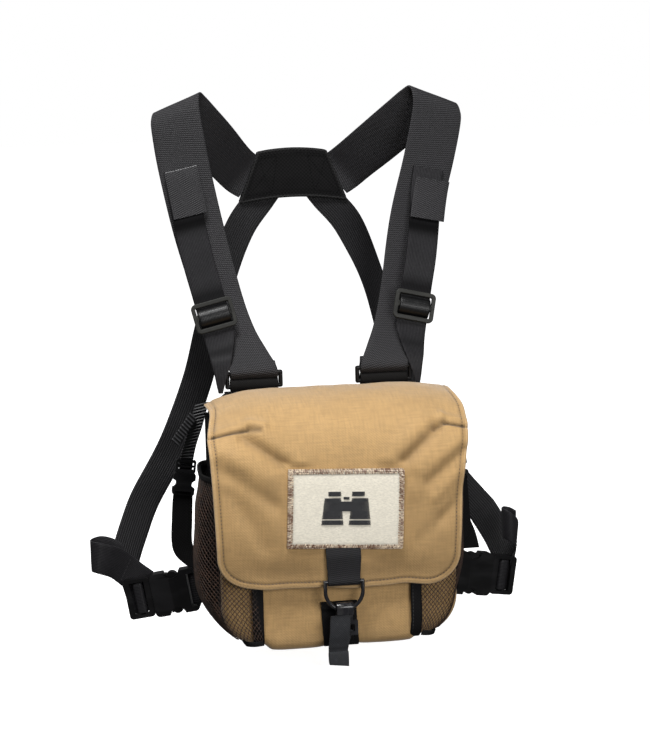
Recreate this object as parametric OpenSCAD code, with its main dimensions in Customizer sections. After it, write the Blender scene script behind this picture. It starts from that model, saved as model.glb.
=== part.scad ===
// Binocular harness pack: a chest pack with a hinged flap, two mesh side pockets and a webbing
// harness that runs over the shoulders to a yoke and back round the ribs to two side buckles.
// Millimetres. Origin: centre of the back panel's flat face. +Y points at the wearer, +Z is up.

/* [Pack] */
// Width of the pack between its side gussets
body_w = 184; // [176:1:188]
// Height of the padded back panel
panel_h = 191; // [187:1:193]
// Thickness of the padded back panel
panel_t = 7; // [6:0.5:7]
// Thickness of the sewn fabric walls
wall_t = 3; // [2:0.5:3]
// Height of the front panel's top edge above the origin
front_top = 66; // [50:1:68]

/* [Flap] */
// Half width of the flap across its top
flap_half = 101; // [95:1:102]
// Thickness of the flap's outer shell
flap_t = 2.6; // [1.5:0.1:2.8]
// Radius of the flap's two lower corners
flap_corner = 24; // [15:1:30]

/* [Webbing] */
// Width of the shoulder webbing
wide_web = 38; // [36:1:39]
// Width of the side and adjuster webbing
narrow_web = 25; // [22:1:25]
// Thickness of the shoulder webbing
wide_t = 1.8; // [1.2:0.1:1.9]
// Thickness of the narrow webbing
narrow_t = 1.5; // [1:0.1:1.5]

/* [Hardware] */
// Closed length of a side buckle
buckle_l = 57; // [57:1:60]
// Width of a side buckle
buckle_w = 35; // [34:1:37]
// Size of a tether buckle against a side buckle
tether_scale = 0.5; // [0.45:0.01:0.5]
// Wire radius of the closure ring
ring_r = 1.5; // [1.2:0.1:1.6]

/* [Hidden] */
$fn = 32;

tan_fabric = [0.72, 0.58, 0.36];
black_fabric = [0.07, 0.07, 0.08];
web_black = [0.09, 0.09, 0.10];
hard_black = [0.05, 0.05, 0.05];
mesh_brown = [0.28, 0.19, 0.11];
cream = [0.90, 0.87, 0.76];

body_half = body_w / 2;
panel_half = panel_h / 2;
rear_y = -panel_t - 1.5;            // rear wall's wearer side
base_z = -90;                       // underside of the pack's fabric
front_y = -84;                      // front panel's outer face
hinge = [-10, 94.5];                // flap hinge line, as y and z
ring_bar = [-99.6, -39.5];          // closure ring's top bar, as y and z
ring_half = 14.5;                   // half width of the ring's centreline
ring_drop = 7.5;                    // straight part of the ring's sides
yoke_y = 112.2;                     // wide webbing's middle plane inside the yoke
glide_at = [80.5, 9, 155];          // centre of the right tri-glide
glide_turn = [-15, 13, 0];          // its lean back and its tilt
buckle_at = [102.6, -3, -61];       // inner end of the right side buckle
buckle_turn = [0, 9.4, 11.7];       // its droop and its turn towards the wearer
tether_at = [111.5, -1.5, 14.5];    // lower end of the right tether buckle
tether_turn = [0, -98, 0];          // its axis, nearly upright and leaning in

// ---------- helpers ----------

function unit(v) = v / norm(v);
function at(list, i) = list[max(0, min(len(list) - 1, i))];
function catmull(a, b, c, d, t) = 0.5 * ((2 * b) + (c - a) * t
    + (2 * a - 5 * b + 4 * c - d) * t * t + (3 * b - a - 3 * c + d) * t * t * t);
function spline(list, n) = [for (i = [0:len(list) - 2]) for (k = [0:n - 1])
    catmull(at(list, i - 1), list[i], list[i + 1], at(list, i + 2), k / n), list[len(list) - 1]];
function part3(v, i) = [v[i], v[i + 1], v[i + 2]];
function arc(cx, cy, r, a0, a1, n) = [for (i = [0:n])
    [cx + r * cos(a0 + (a1 - a0) * i / n), cy + r * sin(a0 + (a1 - a0) * i / n)]];

// One strap. Each entry is [x, y, z, across x, across y, across z, width].
module strap(route, thick, n = 3) {
    s = spline(route, n);
    count = len(s);
    rings = [for (i = [0:count - 1])
        let (p = part3(s[i], 0), a = unit(part3(s[i], 3)) * s[i][6] / 2,
            t = unit(part3(at(s, i + 1), 0) - part3(at(s, i - 1), 0)),
            m = unit(cross(t, a)) * thick / 2)
        [p + a + m, p - a + m, p - a - m, p + a - m]];
    points = [for (r = rings) for (p = r) p];
    sides = [for (i = [0:count - 2]) for (k = [0:3])
        let (a = 4 * i + k, b = 4 * i + (k + 1) % 4) each [[a, a + 4, b], [b, a + 4, b + 4]]];
    last = 4 * (count - 1);
    ends = [[0, 1, 2], [0, 2, 3], [last, last + 2, last + 1], [last, last + 3, last + 2]];
    polyhedron(points, concat(sides, ends));
}

module left_side() { mirror([1, 0, 0]) children(); }
module on_buckle() { translate(buckle_at) rotate(buckle_turn) children(); }
module on_tether() { translate(tether_at) rotate(tether_turn) scale(tether_scale) children(); }
module on_glide() { translate(glide_at) rotate(glide_turn) children(); }

// A plate drawn in X and Z, with its thickness along Y from y0 to y1.
module plate_xz(y0, y1) {
    translate([0, y1, 0]) rotate([90, 0, 0]) linear_extrude(y1 - y0) children();
}

// A bar drawn in Y and Z, running along X and centred on it.
module bar_yz(length) {
    rotate([90, 0, 90]) translate([0, 0, -length / 2]) linear_extrude(length) children();
}

module rounded_rect(w, h, r) {
    square([w - 2 * r, h], center = true);
    square([w, h - 2 * r], center = true);
    for (x = [-1, 1], y = [-1, 1]) translate([x * (w / 2 - r), y * (h / 2 - r)]) circle(r);
}

// Point of the right side buckle's own frame: along, back, across.
function turned(v, r) = let (a = [v[0], v[1] * cos(r[0]) - v[2] * sin(r[0]),
        v[1] * sin(r[0]) + v[2] * cos(r[0])],
    b = [a[0] * cos(r[1]) + a[2] * sin(r[1]), a[1], -a[0] * sin(r[1]) + a[2] * cos(r[1])])
    [b[0] * cos(r[2]) - b[1] * sin(r[2]), b[0] * sin(r[2]) + b[1] * cos(r[2]), b[2]];
buckle_across = turned([0, 0, 1], buckle_turn);
function buckle_knot(u, y, w) = concat(buckle_at + turned([u, y, 0], buckle_turn), buckle_across, [w]);

// ---------- pack ----------

lower_r = 30;                       // radius of the pack's two lower corners
corner_x = body_half - lower_r;     // where those corners start

// The pack seen from the front, moved in by inset.
module body_outline(inset) {
    translate([-body_half + inset, base_z + lower_r]) square([body_w - 2 * inset, 160]);
    translate([-corner_x, base_z + inset]) square([2 * corner_x, 60]);
    for (x = [-corner_x, corner_x]) translate([x, base_z + lower_r]) circle(lower_r - inset, $fn = 64);
}

module back_panel() {
    color(black_fabric) plate_xz(-panel_t, 0) rounded_rect(body_w, panel_h, 26);
}

module back_stiffener() {
    color([0.85, 0.85, 0.82]) plate_xz(-panel_t - 1.35, -panel_t - 0.15)
        rounded_rect(body_w - 12, panel_h - 14, 24);
}

module rear_wall() {
    color(tan_fabric) plate_xz(rear_y - wall_t, rear_y) intersection() {
        body_outline(3.3);
        polygon([[-body_half, base_z], [body_half, base_z], [body_half, 80], [60, 93.5],
            [-60, 93.5], [-body_half, 80]]);
    }
}

module front_panel() {
    color(tan_fabric) plate_xz(front_y, front_y + wall_t) intersection() {
        body_outline(3.3);
        polygon([[-body_half, base_z], [body_half, base_z], [body_half, front_top - 8],
            [60, front_top], [-60, front_top], [-body_half, front_top - 8]]);
    }
}

module bottom_panel() {
    color(tan_fabric) translate([-corner_x, front_y, base_z])
        cube([2 * corner_x, rear_y - front_y, wall_t]);
}

module base_pad() {
    color([0.3, 0.3, 0.3]) translate([-corner_x, front_y + wall_t + 2, base_z + wall_t + 0.4])
        cube([2 * corner_x, 64, 6]);
}

module side_gusset() {
    color(black_fabric) intersection() {
        plate_xz(front_y, rear_y) intersection() {
            difference() {
                body_outline(0);
                body_outline(3);
            }
            translate([corner_x + 0.3, -150]) square([100, 300]);
        }
        bar_yz(2 * body_w)
            polygon(concat([[rear_y, 80], [-30, 81], [-55, 78], [-70, 70], [-80, 58]],
                arc(front_y + 12, base_z + 12, 12, 180, 270, 6), [[rear_y, base_z]]));
    }
}

pocket_top = 36;
pocket_x = 105;                     // outermost reach of a side pocket

// Plan of a side pocket's outer face; inset moves it inwards.
module pocket_plan(inset) {
    translate([50, -66.5]) square([pocket_x - 50 - inset, 42.5]);
    translate([50, -88.5 + inset]) square([33, 60]);
    translate([pocket_x - 22, -66.5]) circle(22 - inset, $fn = 48);
    translate([pocket_x - 20, -24]) circle(20 - inset, $fn = 48);
    translate([50, -40]) square([35, 36 - inset]);
}

// Front outline of a side pocket, with its lower corner cut away in a wide curve.
module pocket_outline(inset) {
    translate([40, base_z + inset]) square([20, 150]);
    translate([50, -45]) square([60, 120]);
    translate([60, -45]) circle(45 - inset, $fn = 96);
}

// Space that the pack's body takes out of a side pocket.
module pocket_cut() {
    plate_xz(front_y - 0.4, 20) body_outline(-0.4);
    translate([0, rear_y - 0.3, -120]) cube([body_half + 0.4, 30, 240]);
    translate([0, -120, -120]) cube([65.7, 130, 240]);
}

module pocket_body(inset, z0, z1) {
    intersection() {
        translate([0, 0, z0]) linear_extrude(z1 - z0) pocket_plan(inset);
        plate_xz(-110, 10) pocket_outline(inset);
    }
}

module mesh_pocket() {
    color(mesh_brown) difference() {
        pocket_body(0, base_z, pocket_top);
        pocket_body(1.6, base_z, pocket_top + 1);
        pocket_cut();
    }
}

module mesh_hems() {
    color(black_fabric) for (s = [0, 1]) mirror([s, 0, 0]) difference() {
        pocket_body(-0.6, pocket_top + 0.2, pocket_top + 7);
        pocket_body(2, pocket_top, pocket_top + 8);
        pocket_cut();
    }
}

module pocket_bindings() {
    color(black_fabric) for (s = [-1, 1])
        translate([s * 61.2 - 4.2, -88.4, base_z]) cube([8.4, 4.2, pocket_top + 7 - base_z]);
}

module closure_webbing() {
    color(web_black) {
        translate([-narrow_web / 2, -86, base_z]) cube([narrow_web, 1.8, 34]);
        translate([-narrow_web / 2, -87.9, -62]) cube([narrow_web, 1.7, 6]);
    }
}

// ---------- flap ----------

// Middle line of the flap's outer shell from the hinge over the top and down the front, as y, z.
flap_line = [[-11, 96.0], [-16, 97.4], [-30, 97.6], [-46, 95.8], [-62, 91.4], [-76, 84],
    [-86, 74.5], [-92.5, 61], [-95.6, 43], [-96.6, 22], [-96.8, 0], [-96.2, -18], [-95.5, -28],
    [-94.9, -35], [-94.6, -39.5], [-94.4, -42.5]];
flap_steps = 3;
flap_path = spline(flap_line, flap_steps);
flap_run = [for (i = 0, s = 0; i < len(flap_path);
    i = i + 1, s = s + (i < len(flap_path) ? norm(flap_path[i] - flap_path[i - 1]) : 0)) s];
flap_long = flap_run[len(flap_run) - 1];

flap_end = flap_long + 2.5;         // run at the outer edge of its binding

// Half width of the flap at run s, moved in by inset: it narrows to the front and has round corners.
function flap_width(s, inset) =
    let (w = flap_half - 7 * s / flap_long - inset, r = flap_corner - inset,
        left = max(0, flap_end - inset - s))
    left >= r ? w : w - r + sqrt(r * r - (r - left) * (r - left));
function flap_normal(i) = let (t = unit(at(flap_path, i + 1) - at(flap_path, i - 1)))
    [-t[1], t[0]];
// How far the flap's sides fall below its middle: more on the left than on the right at the top.
function flap_fall(x) = x < 0 ? 11 : 6;
function flap_droop(x, s) = abs(x) < 50 ? 0
    : (flap_fall(x) - (flap_fall(x) - 3) * max(0, min(1, (s - 60) / 45)))
        * pow((abs(x) - 50) / 50, 2);
// Point of the flap at path step i, share k from -1 to 1 across it, and depth d under its middle.
function flap_point(i, k, d, inset) =
    let (s = flap_run[i], x = k * flap_width(s, inset),
        q = flap_path[i] + flap_normal(i) * (d + flap_droop(x, s)))
    [x, q[0], q[1]];

flap_cols = 16;
module flap_sheet(d0, d1, inset, first = 0) {
    rows = len(flap_path) - first;
    cols = flap_cols + 1;
    points = [for (d = [d0, d1]) for (i = [0:rows - 1]) for (k = [0:flap_cols])
        flap_point(i + first, 2 * k / flap_cols - 1, d, inset)];
    half = rows * cols;
    grid = [for (i = [0:rows - 2]) for (k = [0:flap_cols - 1])
        let (a = i * cols + k, b = a + 1, c = a + cols, d = c + 1)
        each [[a, b, c], [b, d, c], [half + a, half + c, half + b], [half + b, half + c, half + d]]];
    rim_cols = [for (k = [0:flap_cols - 1]) let (a = k, b = k + 1,
            c = (rows - 1) * cols + k, d = c + 1)
        each [[a, half + a, b], [b, half + a, half + b],
            [c, d, half + c], [d, half + d, half + c]]];
    rim_rows = [for (i = [0:rows - 2]) let (a = i * cols, b = a + cols,
            c = a + flap_cols, d = b + flap_cols)
        each [[a, b, half + a], [b, half + b, half + a],
            [c, half + c, d], [d, half + c, half + d]]];
    polyhedron(points, concat(grid, rim_cols, rim_rows));
}

module flap_shell() { color(tan_fabric) flap_sheet(-flap_t / 2, flap_t / 2, 2.6); }
module flap_lining() { color([0.2, 0.2, 0.2]) flap_sheet(flap_t / 2 + 0.2, flap_t / 2 + 1.2, 3.2, 2); }

module flap_binding() {
    last = len(flap_path) - 1;
    ks = [for (i = [0:flap_cols]) 1 - 2 * i / flap_cols];
    right = [for (i = [1:last - 1]) flap_point(i, 1, 0.4, 1.2)];
    edge = [for (k = ks) flap_point(last, k, 0.4, 1.2) - [0, 0, 1.3]];
    left = [for (i = [last - 1:-1:1]) flap_point(i, -1, 0.4, 1.2)];
    line = concat(right, edge, left);
    count = len(line);
    rings = [for (i = [0:count - 1])
        let (t = unit(at(line, i + 1) - at(line, i - 1)),
            a = unit(cross(t, abs(line[i][0]) > 60 && line[i][2] > 76 ? [0, 0.3, 1] : [0, 1, 0])),
            m = cross(t, a))
        [line[i] + a * 1.1 + m * 2, line[i] - a * 1.1 + m * 2,
            line[i] - a * 1.1 - m * 2, line[i] + a * 1.1 - m * 2]];
    points = [for (r = rings) for (p = r) p];
    sides = [for (i = [0:count - 2]) for (k = [0:3])
        let (a = 4 * i + k, b = 4 * i + (k + 1) % 4) each [[a, a + 4, b], [b, a + 4, b + 4]]];
    tail = 4 * (count - 1);
    ends = [[0, 1, 2], [0, 2, 3], [tail, tail + 2, tail + 1], [tail, tail + 3, tail + 2]];
    color(tan_fabric) polyhedron(points, concat(sides, ends));
}

patch_at = [3.1, 16.3];             // middle of the patch, as x and z
patch_lean = 2.5;                   // how far it is sewn on askew, in degrees

module patch() {
    color(cream) plate_xz(-100.4, -98.3) translate(patch_at) rotate(-patch_lean)
        rounded_rect(88, 60, 3);
}

module closure_tab() {
    color(web_black) {
        difference() {
            bar_yz(narrow_web) {
                translate([ring_bar[0], ring_bar[1]]) circle(3.3);
                translate([ring_bar[0] - 1.3, ring_bar[1] + 1.5]) square([2.6, 22.4]);
            }
            translate([-20, ring_bar[0], ring_bar[1]]) rotate([0, 90, 0]) cylinder(40, r = 1.8);
        }
    }
}

module closure_ring() {
    color(hard_black) translate([0, ring_bar[0], ring_bar[1]]) {
        for (s = [-1, 1]) {
            translate([s * ring_half, 0, -ring_drop]) cylinder(ring_drop, r = ring_r);
            translate([s * ring_half, 0, 0]) sphere(ring_r);
        }
        translate([-ring_half, 0, 0]) rotate([0, 90, 0]) cylinder(2 * ring_half, r = ring_r);
        translate([0, 0, -ring_drop]) rotate([90, 180, 0])
            rotate_extrude(angle = 180) translate([ring_half, 0]) circle(ring_r);
    }
}

// ---------- closure hook ----------

hook_inner = 2.1;                   // half the gap that the ring's wire sits in
hook_plate = 1.8;
hook_crown = ring_bar[1] - 20.3;    // centre of the crook over the ring

module closure_hook() {
    y = ring_bar[0];
    color([0.12, 0.12, 0.13]) {
        bar_yz(13) {
            difference() {
                translate([y, hook_crown]) circle(hook_inner + hook_plate);
                translate([y, hook_crown]) circle(hook_inner);
                translate([y - 10, hook_crown - 20]) square([20, 20]);
            }
            translate([y - hook_inner - hook_plate, hook_crown - 5]) square([hook_plate, 5]);
            translate([y + hook_inner, hook_crown - 12]) square([hook_plate, 12]);
        }
        difference() {
            translate([-10.5, y + hook_inner, hook_crown - 23]) cube([21, hook_plate, 12]);
            translate([-8, y + hook_inner - 1, hook_crown - 20.2]) cube([16, hook_plate + 2, 6]);
        }
    }
}

module pull_tab() {
    y = ring_bar[0] + hook_inner + hook_plate / 2;
    color([0.2, 0.2, 0.21]) bar_yz(15) difference() {
        polygon([[y - 2.9, hook_crown - 18], [y + 2.9, hook_crown - 18], [y + 2.9, hook_crown - 23],
            [y + 1.6, hook_crown - 29], [y + 1.6, -108], [y - 1.6, -108],
            [y - 1.6, hook_crown - 29], [y - 2.9, hook_crown - 23]]);
        polygon([[y - 1.35, hook_crown - 19.9], [y + 1.35, hook_crown - 19.9],
            [y + 1.35, hook_crown - 23.3], [y, hook_crown - 26], [y - 1.35, hook_crown - 23.3]]);
    }
}

module hook_elastic() {
    color(web_black) strap([[0, -92.8, -80, 1, 0, 0, 15], [0, -92.4, -86, 1, 0, 0, 15],
        [0, -90, -89.5, 1, 0, 0, 15], [0, -87.2, -89.4, 1, 0, 0, 15]], 1.2);
}

// ---------- harness ----------

loop_at = [52, -3, 98.9];           // middle of a strap loop's lower bar
loop_rise = 10.4;                   // height of its upper bar above that
loop_wire = 1.75;
loop_half = 21.2;

module strap_loop() {
    translate(loop_at) {
        for (z = [0, loop_rise]) translate([-loop_half, 0, z]) rotate([0, 90, 0])
            cylinder(2 * loop_half, r = loop_wire);
        for (x = [-loop_half, loop_half]) {
            translate([x, 0, 0]) cylinder(loop_rise, r = loop_wire);
            for (z = [0, loop_rise]) translate([x, 0, z]) sphere(loop_wire);
        }
    }
}

module strap_loops() { color(hard_black) for (s = [0, 1]) mirror([s, 0, 0]) strap_loop(); }

module strap_anchors() {
    color(web_black) for (s = [0, 1]) mirror([s, 0, 0]) translate([loop_at[0], 0, 0])
        difference() {
            bar_yz(wide_web) {
                translate([loop_at[1], loop_at[2]]) circle(3.2);
                translate([loop_at[1] - 1.6, panel_half + 0.05]) square([3.2, 2]);
            }
            translate([-30, loop_at[1], loop_at[2]]) rotate([0, 90, 0]) cylinder(60, r = 1.95);
        }
}

// Shoulder webbing of one side, from its hem behind the loop, over the shoulder, to the yoke. The
// fold at the top stands a little wider on the right than on the left.
function shoulder_route(spread) = [
    [54, 3.6, 122, 1, 0, 0, wide_web], [53, 0.6, 114.5, 1, 0, 0, wide_web],
    [52, 0.4, 109.5, 1, 0, 0, wide_web], [52, -3, 105.9, 1, 0, 0, wide_web],
    [52, -6.4, 109.5, 1, 0, 0, wide_web], [53.5, -4.4, 115, 1, 0, -0.04, wide_web],
    [59, 3, 124, 0.98, 0, -0.12, wide_web], [67, 14, 139, 0.97, 0, -0.24, wide_web],
    [75, 25, 167, 0.97, 0, -0.24, wide_web], [88, 38, 220, 0.975, 0, -0.22, wide_web],
    [98 + 0.6 * spread, 44, 270, 0.98, 0, -0.2, wide_web],
    [102.5 + spread, 47, 303, 0.96, 0, -0.28, wide_web],
    [103 + spread, 49.5, 315, 0.94, 0, -0.34, wide_web],
    [100.5 + spread, 54.5, 321, 0.935, 0, -0.35, wide_web],
    [96 + 0.9 * spread, 60, 317, 0.93, 0, -0.37, wide_web],
    [86 + 0.7 * spread, 67, 305, 0.91, 0, -0.42, wide_web],
    [68 + 0.4 * spread, 84, 284, 0.76, 0, -0.65, wide_web], [52, 103, 266, 0.5, 0, -0.87, wide_web],
    [40, yoke_y - 0.8, 257.5, 0.34, 0, -0.94, wide_web],
    [25, yoke_y, 255, 0.28, 0, -0.96, wide_web]];
right_spread = 8;

module shoulder_strap(spread) { color(web_black) strap(shoulder_route(spread), wide_t); }

left_overlay = [[102.5, 42.0, 275, 0.98, 0, -0.2, 30], [101, 39.6, 266, 0.98, 0, -0.2, 30],
    [98, 36.6, 250, 0.98, 0, -0.2, 30], [95.6, 33.6, 238, 0.98, 0, -0.2, 30]];
right_overlay = [[103, 38.8, 262, 0.98, 0, -0.2, 30], [100.6, 37, 252, 0.98, 0, -0.2, 30],
    [97.6, 33.2, 238, 0.98, 0, -0.2, 30], [95, 29.4, 225, 0.98, 0, -0.2, 30]];

module strap_overlays() {
    color(web_black) {
        left_side() strap(left_overlay, 1.2);
        strap(right_overlay, 1.2);
    }
}

// Adjuster webbing of one side, from under its overlay, behind the tri-glide, to the pack.
glide_line = [for (t = [44, 20, -4, -28]) glide_at + turned([0, 2.85, t], glide_turn)];
adjuster_route = concat(
    [[100.6, 41.0, 262, 0.98, 0, -0.2, narrow_web], [97.5, 37.6, 245, 0.98, 0, -0.2, narrow_web],
        [94.2, 31.0, 220, 0.977, 0, -0.21, narrow_web]],
    [for (p = glide_line) concat(p, [0.974, 0, -0.225, narrow_web])],
    [[82.6, -1.2, 119, 0.4, 0.9, 0, 15], [80.4, -2.6, 106, 0.5, 0.85, 0, 12],
        [80.5, -4.2, 94.4, 1, 0.2, 0, 9]]);

module adjuster_strap() { color(web_black) strap(adjuster_route, narrow_t); }

module tri_glide() {
    color(hard_black) on_glide() plate_xz(-1.75, 1.75) difference() {
        rounded_rect(33, 24, 4);
        for (s = [-1, 1]) translate([0, s * 5.25]) rounded_rect(26.6, 6.5, 1);
    }
}

module glide_bight() {
    color(web_black) on_glide() bar_yz(narrow_web) difference() {
        translate([5.38, 0]) circle(8.93, $fn = 64);
        translate([5.38, 0]) circle(7.43, $fn = 64);
        translate([1.9, -20]) square([30, 40]);
    }
}

module yoke_layer() {
    polygon([[-28, 274.5], [-12, 277], [12, 277], [28, 274.5], [44, 234.5], [24, 237.5],
        [0, 238.6], [-24, 237.5], [-44, 234.5]]);
}

module yoke_front() { color(black_fabric) plate_xz(yoke_y - 2.8, yoke_y - 1.2) yoke_layer(); }
module yoke_back() { color(black_fabric) plate_xz(yoke_y + 3.4, yoke_y + 5) yoke_layer(); }

// Side webbing of one side, from inside the yoke, down and round the ribs, to the buckle. The
// fold at its outer end is tucked in closer on the right than on the left. The end past the fold
// is a node of its own, because it gives when the buckle is pulled.
function side_knots(tuck) = [
    [16, 114.3, 252, 0.86, 0, 0.5, narrow_web], [27, 114.3, 233, 0.86, 0, 0.5, narrow_web],
    [40, 110.5, 211, 0.86, 0, 0.5, narrow_web], [59, 103, 174, 0.9, 0, 0.43, narrow_web],
    [75, 94, 130, 0.94, 0, 0.33, narrow_web], [87, 84, 90, 0.94, 0, 0.33, narrow_web],
    [105, 68, 42, 0.92, 0, 0.39, narrow_web], [128, 52, 1, 0.87, 0, 0.5, narrow_web],
    [145 - tuck / 2, 42, -24, 0.85, 0, 0.53, narrow_web]];
function end_knots(tuck) = [
    [145.4 - tuck / 2, 41.7, -24.6, 0.85, 0, 0.53, narrow_web],
    [158 - tuck, 33, -44, 0.78, 0, 0.62, narrow_web],
    [164.5 - tuck, 26, -55, 0.68, 0, 0.73, narrow_web],
    [167 - tuck, 20, -61, 0.55, 0, 0.83, narrow_web],
    [165 - tuck / 2, 15, -65, 0.42, 0, 0.9, narrow_web],
    buckle_knot(58, 3.3, narrow_web), buckle_knot(52, 3.15, narrow_web),
    buckle_knot(46, 3.15, narrow_web)];
right_tuck = 5;

module side_strap(tuck) { color(web_black) strap(side_knots(tuck), narrow_t); }
module strap_end(tuck) { color(web_black) strap(end_knots(tuck), narrow_t); }

// Pull loops: the webbing's tail round the middle bar of the ladder, then out to a sewn loop.
ladder_turn = [buckle_knot(44.2, 2.4, narrow_web), buckle_knot(42.9, 0, narrow_web),
    buckle_knot(43.9, -2.5, narrow_web), buckle_knot(46.5, -3, narrow_web),
    buckle_knot(49.2, -2.5, narrow_web), buckle_knot(50.8, -0.3, narrow_web),
    buckle_knot(53.4, 1.25, narrow_web), buckle_knot(57, 1.3, narrow_web)];
left_tail = [[163, 8.2, -64, 0.1, 0, 0.99, narrow_web], [170, 6.5, -52, 0, 0, 1, narrow_web],
    [177, 4.5, -43, 0, 0, 1, narrow_web], [182, 5, -39, 0, 0, 1, narrow_web],
    [185, 9, -37, 0, 0, 1, narrow_web], [182, 13, -37, 0, 0, 1, narrow_web],
    [176, 12.2, -39, 0, 0, 1, narrow_web], [169, 9.8, -46, 0, 0, 1, narrow_web]];
right_tail = [[163.5, 8.6, -66, 0.15, 0, 0.98, 20], [165.6, 6.4, -55, 0.4, 0.2, 0.9, 16],
    [165, 3, -44, 0.4, 0, 0.9, 19], [160, -3, -36, 0.1, 0, 0.99, narrow_web],
    [153, -6, -33, 0, 0, 1, narrow_web], [147, -4, -31, 0, 0, 1, narrow_web],
    [145, 1.5, -30, 0, 0, 1, narrow_web], [149, 6, -30, 0, 0, 1, narrow_web],
    [156, 5.4, -31, 0, 0, 1, narrow_web], [161.4, 1.6, -33, 0, 0, 1, narrow_web]];

module pull_loop(tail) { color(web_black) strap(concat(ladder_turn, tail), narrow_t); }

module wing_tab() {
    color(web_black) strap([[92.8, -2.5, -59.4, 0, 0, 1, narrow_web],
        buckle_knot(-6, 1.2, narrow_web), buckle_knot(-2.2, 2.4, narrow_web),
        buckle_knot(1.2, 3.3, narrow_web), buckle_knot(4.5, 1.9, narrow_web),
        buckle_knot(4.5, -1.9, narrow_web), buckle_knot(1.2, -3.3, narrow_web),
        buckle_knot(-2.2, -2.0, narrow_web), buckle_knot(-5, -0.9, narrow_web)], narrow_t);
}

// ---------- side-release buckle: along +X from the fixed end, across +Z, front face to -Y ----------

window_at = 18.2;
window_r = 6.5;

module female_half() {
    difference() {
        plate_xz(-5.5, 5.5) translate([18, 0]) rounded_rect(36, buckle_w, 4);
        translate([8, -3.5, -14.6]) cube([30, 7, 29.2]);
        for (s = [-1, 1]) translate([window_at, 10, s * 18.6]) rotate([90, 0, 0])
            cylinder(20, r = window_r);
        translate([2.6, -10, -13.4]) cube([3.8, 20, 26.8]);
        for (s = [-1, 1]) translate([-0.5, s * 4.3 - 2.25, -13.4]) cube([3.1, 4.5, 26.8]);
    }
}

module male_half() {
    rest = buckle_l - 36.3;
    difference() {
        plate_xz(-4.2, 4.2) translate([36.3 + rest / 2, 0]) rounded_rect(rest, buckle_w - 3, 3);
        translate([41, -10, -13.3]) cube([11.8, 20, 26.6]);
        translate([52, 0.2, -13.3]) cube([20, 10, 26.6]);
    }
    translate([45, -1.9, -14.5]) cube([3, 3.8, 29]);
    translate([12, -2.2, -3]) cube([24.4, 4.4, 6]);
}

module latch_arm() {
    plate_xz(-3.2, 3.2) polygon(concat([[35.9, 8.6], [35.9, 11.4], [23.2, 12.2], [22.9, 16.4]],
        arc(18, 12.6, 4.6, 40, 140, 8), [[12.6, 12.6], [12.2, 9.6], [14, 8.6]]));
}

// ---------- bino tethers ----------

left_tether_tail = [[101.5, -9.5, 79, 0.7, 0, 0.7, 7.5], [108, -10, 70, 0.7, 0, 0.72, 7.5],
    [117, -10, 58, 0.72, 0, 0.7, 7.5]];
right_tether_tail = [[99.5, -10.5, 78, 0.95, 0, 0.3, 7.5], [102, -12, 66, 0.98, 0, 0.2, 7.5],
    [103.5, -12, 52, 1, 0, 0.1, 7.5]];

module tether_upper(tail) {
    color(web_black) {
        strap([[96, -8.5, 86, 0.95, 0.1, -0.2, 8], [101, -6.4, 68, 0.96, 0, -0.2, 8],
            [105.6, -3.6, 54, 0.97, 0, -0.2, 8], [107.4, -1.7, 43.2, 0.98, 0, 0.12, 8]], 1.6);
        strap(tail, 1.6);
    }
}

module tether_lower() {
    color(web_black) strap([[111.5, 0.2, 12.6, 1, 0, 0, 13], [112.6, 1.2, -6, 1, 0, 0, 13],
        [112.6, 1.8, -22, 1, 0, -0.1, 13], [108, 1.6, -32, 0.85, 0, -0.5, 12],
        [102, 0.4, -38.5, 0.8, 0, -0.6, 10], [97, -0.6, -44, 0.85, 0, -0.5, 9]], 1.5);
}

module tether_female() { color(hard_black) on_tether() female_half(); }
module tether_male() {
    color(hard_black) on_tether() {
        male_half();
        for (s = [-1, 1]) translate([13, -3, s * 10 - 1.8]) cube([23.4, 6, 3.6]);
    }
}

// ---------- nodes ----------

back_panel();
back_stiffener();
rear_wall();
front_panel();
bottom_panel();
base_pad();
left_side() side_gusset();  // side_gusset_left
side_gusset();  // side_gusset_right
pocket_bindings();
left_side() mesh_pocket();  // mesh_pocket_left
mesh_pocket();  // mesh_pocket_right
mesh_hems();
closure_webbing();
flap_shell();
flap_lining();
flap_binding();
patch();
closure_tab();
closure_ring();
closure_hook();
pull_tab();
hook_elastic();
strap_anchors();
strap_loops();
left_side() shoulder_strap(0);  // shoulder_strap_left
shoulder_strap(right_spread);  // shoulder_strap_right
strap_overlays();
left_side() adjuster_strap();  // adjuster_strap_left
adjuster_strap();  // adjuster_strap_right
left_side() tri_glide();  // tri_glide_left
tri_glide();  // tri_glide_right
left_side() glide_bight();  // glide_bight_left
glide_bight();  // glide_bight_right
yoke_front();
yoke_back();
left_side() side_strap(0);  // side_strap_left
side_strap(right_tuck);  // side_strap_right
left_side() strap_end(0);  // strap_end_left
strap_end(right_tuck);  // strap_end_right
left_side() wing_tab();  // wing_tab_left
wing_tab();  // wing_tab_right
left_side() color(hard_black) on_buckle() female_half();  // buckle_female_left
color(hard_black) on_buckle() female_half();  // buckle_female_right
left_side() color(hard_black) on_buckle() male_half();  // buckle_male_left
color(hard_black) on_buckle() male_half();  // buckle_male_right
left_side() color(hard_black) on_buckle() latch_arm();  // latch_upper_left
left_side() color(hard_black) on_buckle() mirror([0, 0, 1]) latch_arm();  // latch_lower_left
color(hard_black) on_buckle() latch_arm();  // latch_upper_right
color(hard_black) on_buckle() mirror([0, 0, 1]) latch_arm();  // latch_lower_right
left_side() pull_loop(left_tail);  // pull_loop_left
pull_loop(right_tail);  // pull_loop_right
left_side() tether_upper(left_tether_tail);  // tether_upper_left
tether_upper(right_tether_tail);  // tether_upper_right
left_side() tether_male();  // tether_male_left
tether_male();  // tether_male_right
left_side() tether_female();  // tether_female_left
tether_female();  // tether_female_right
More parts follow.
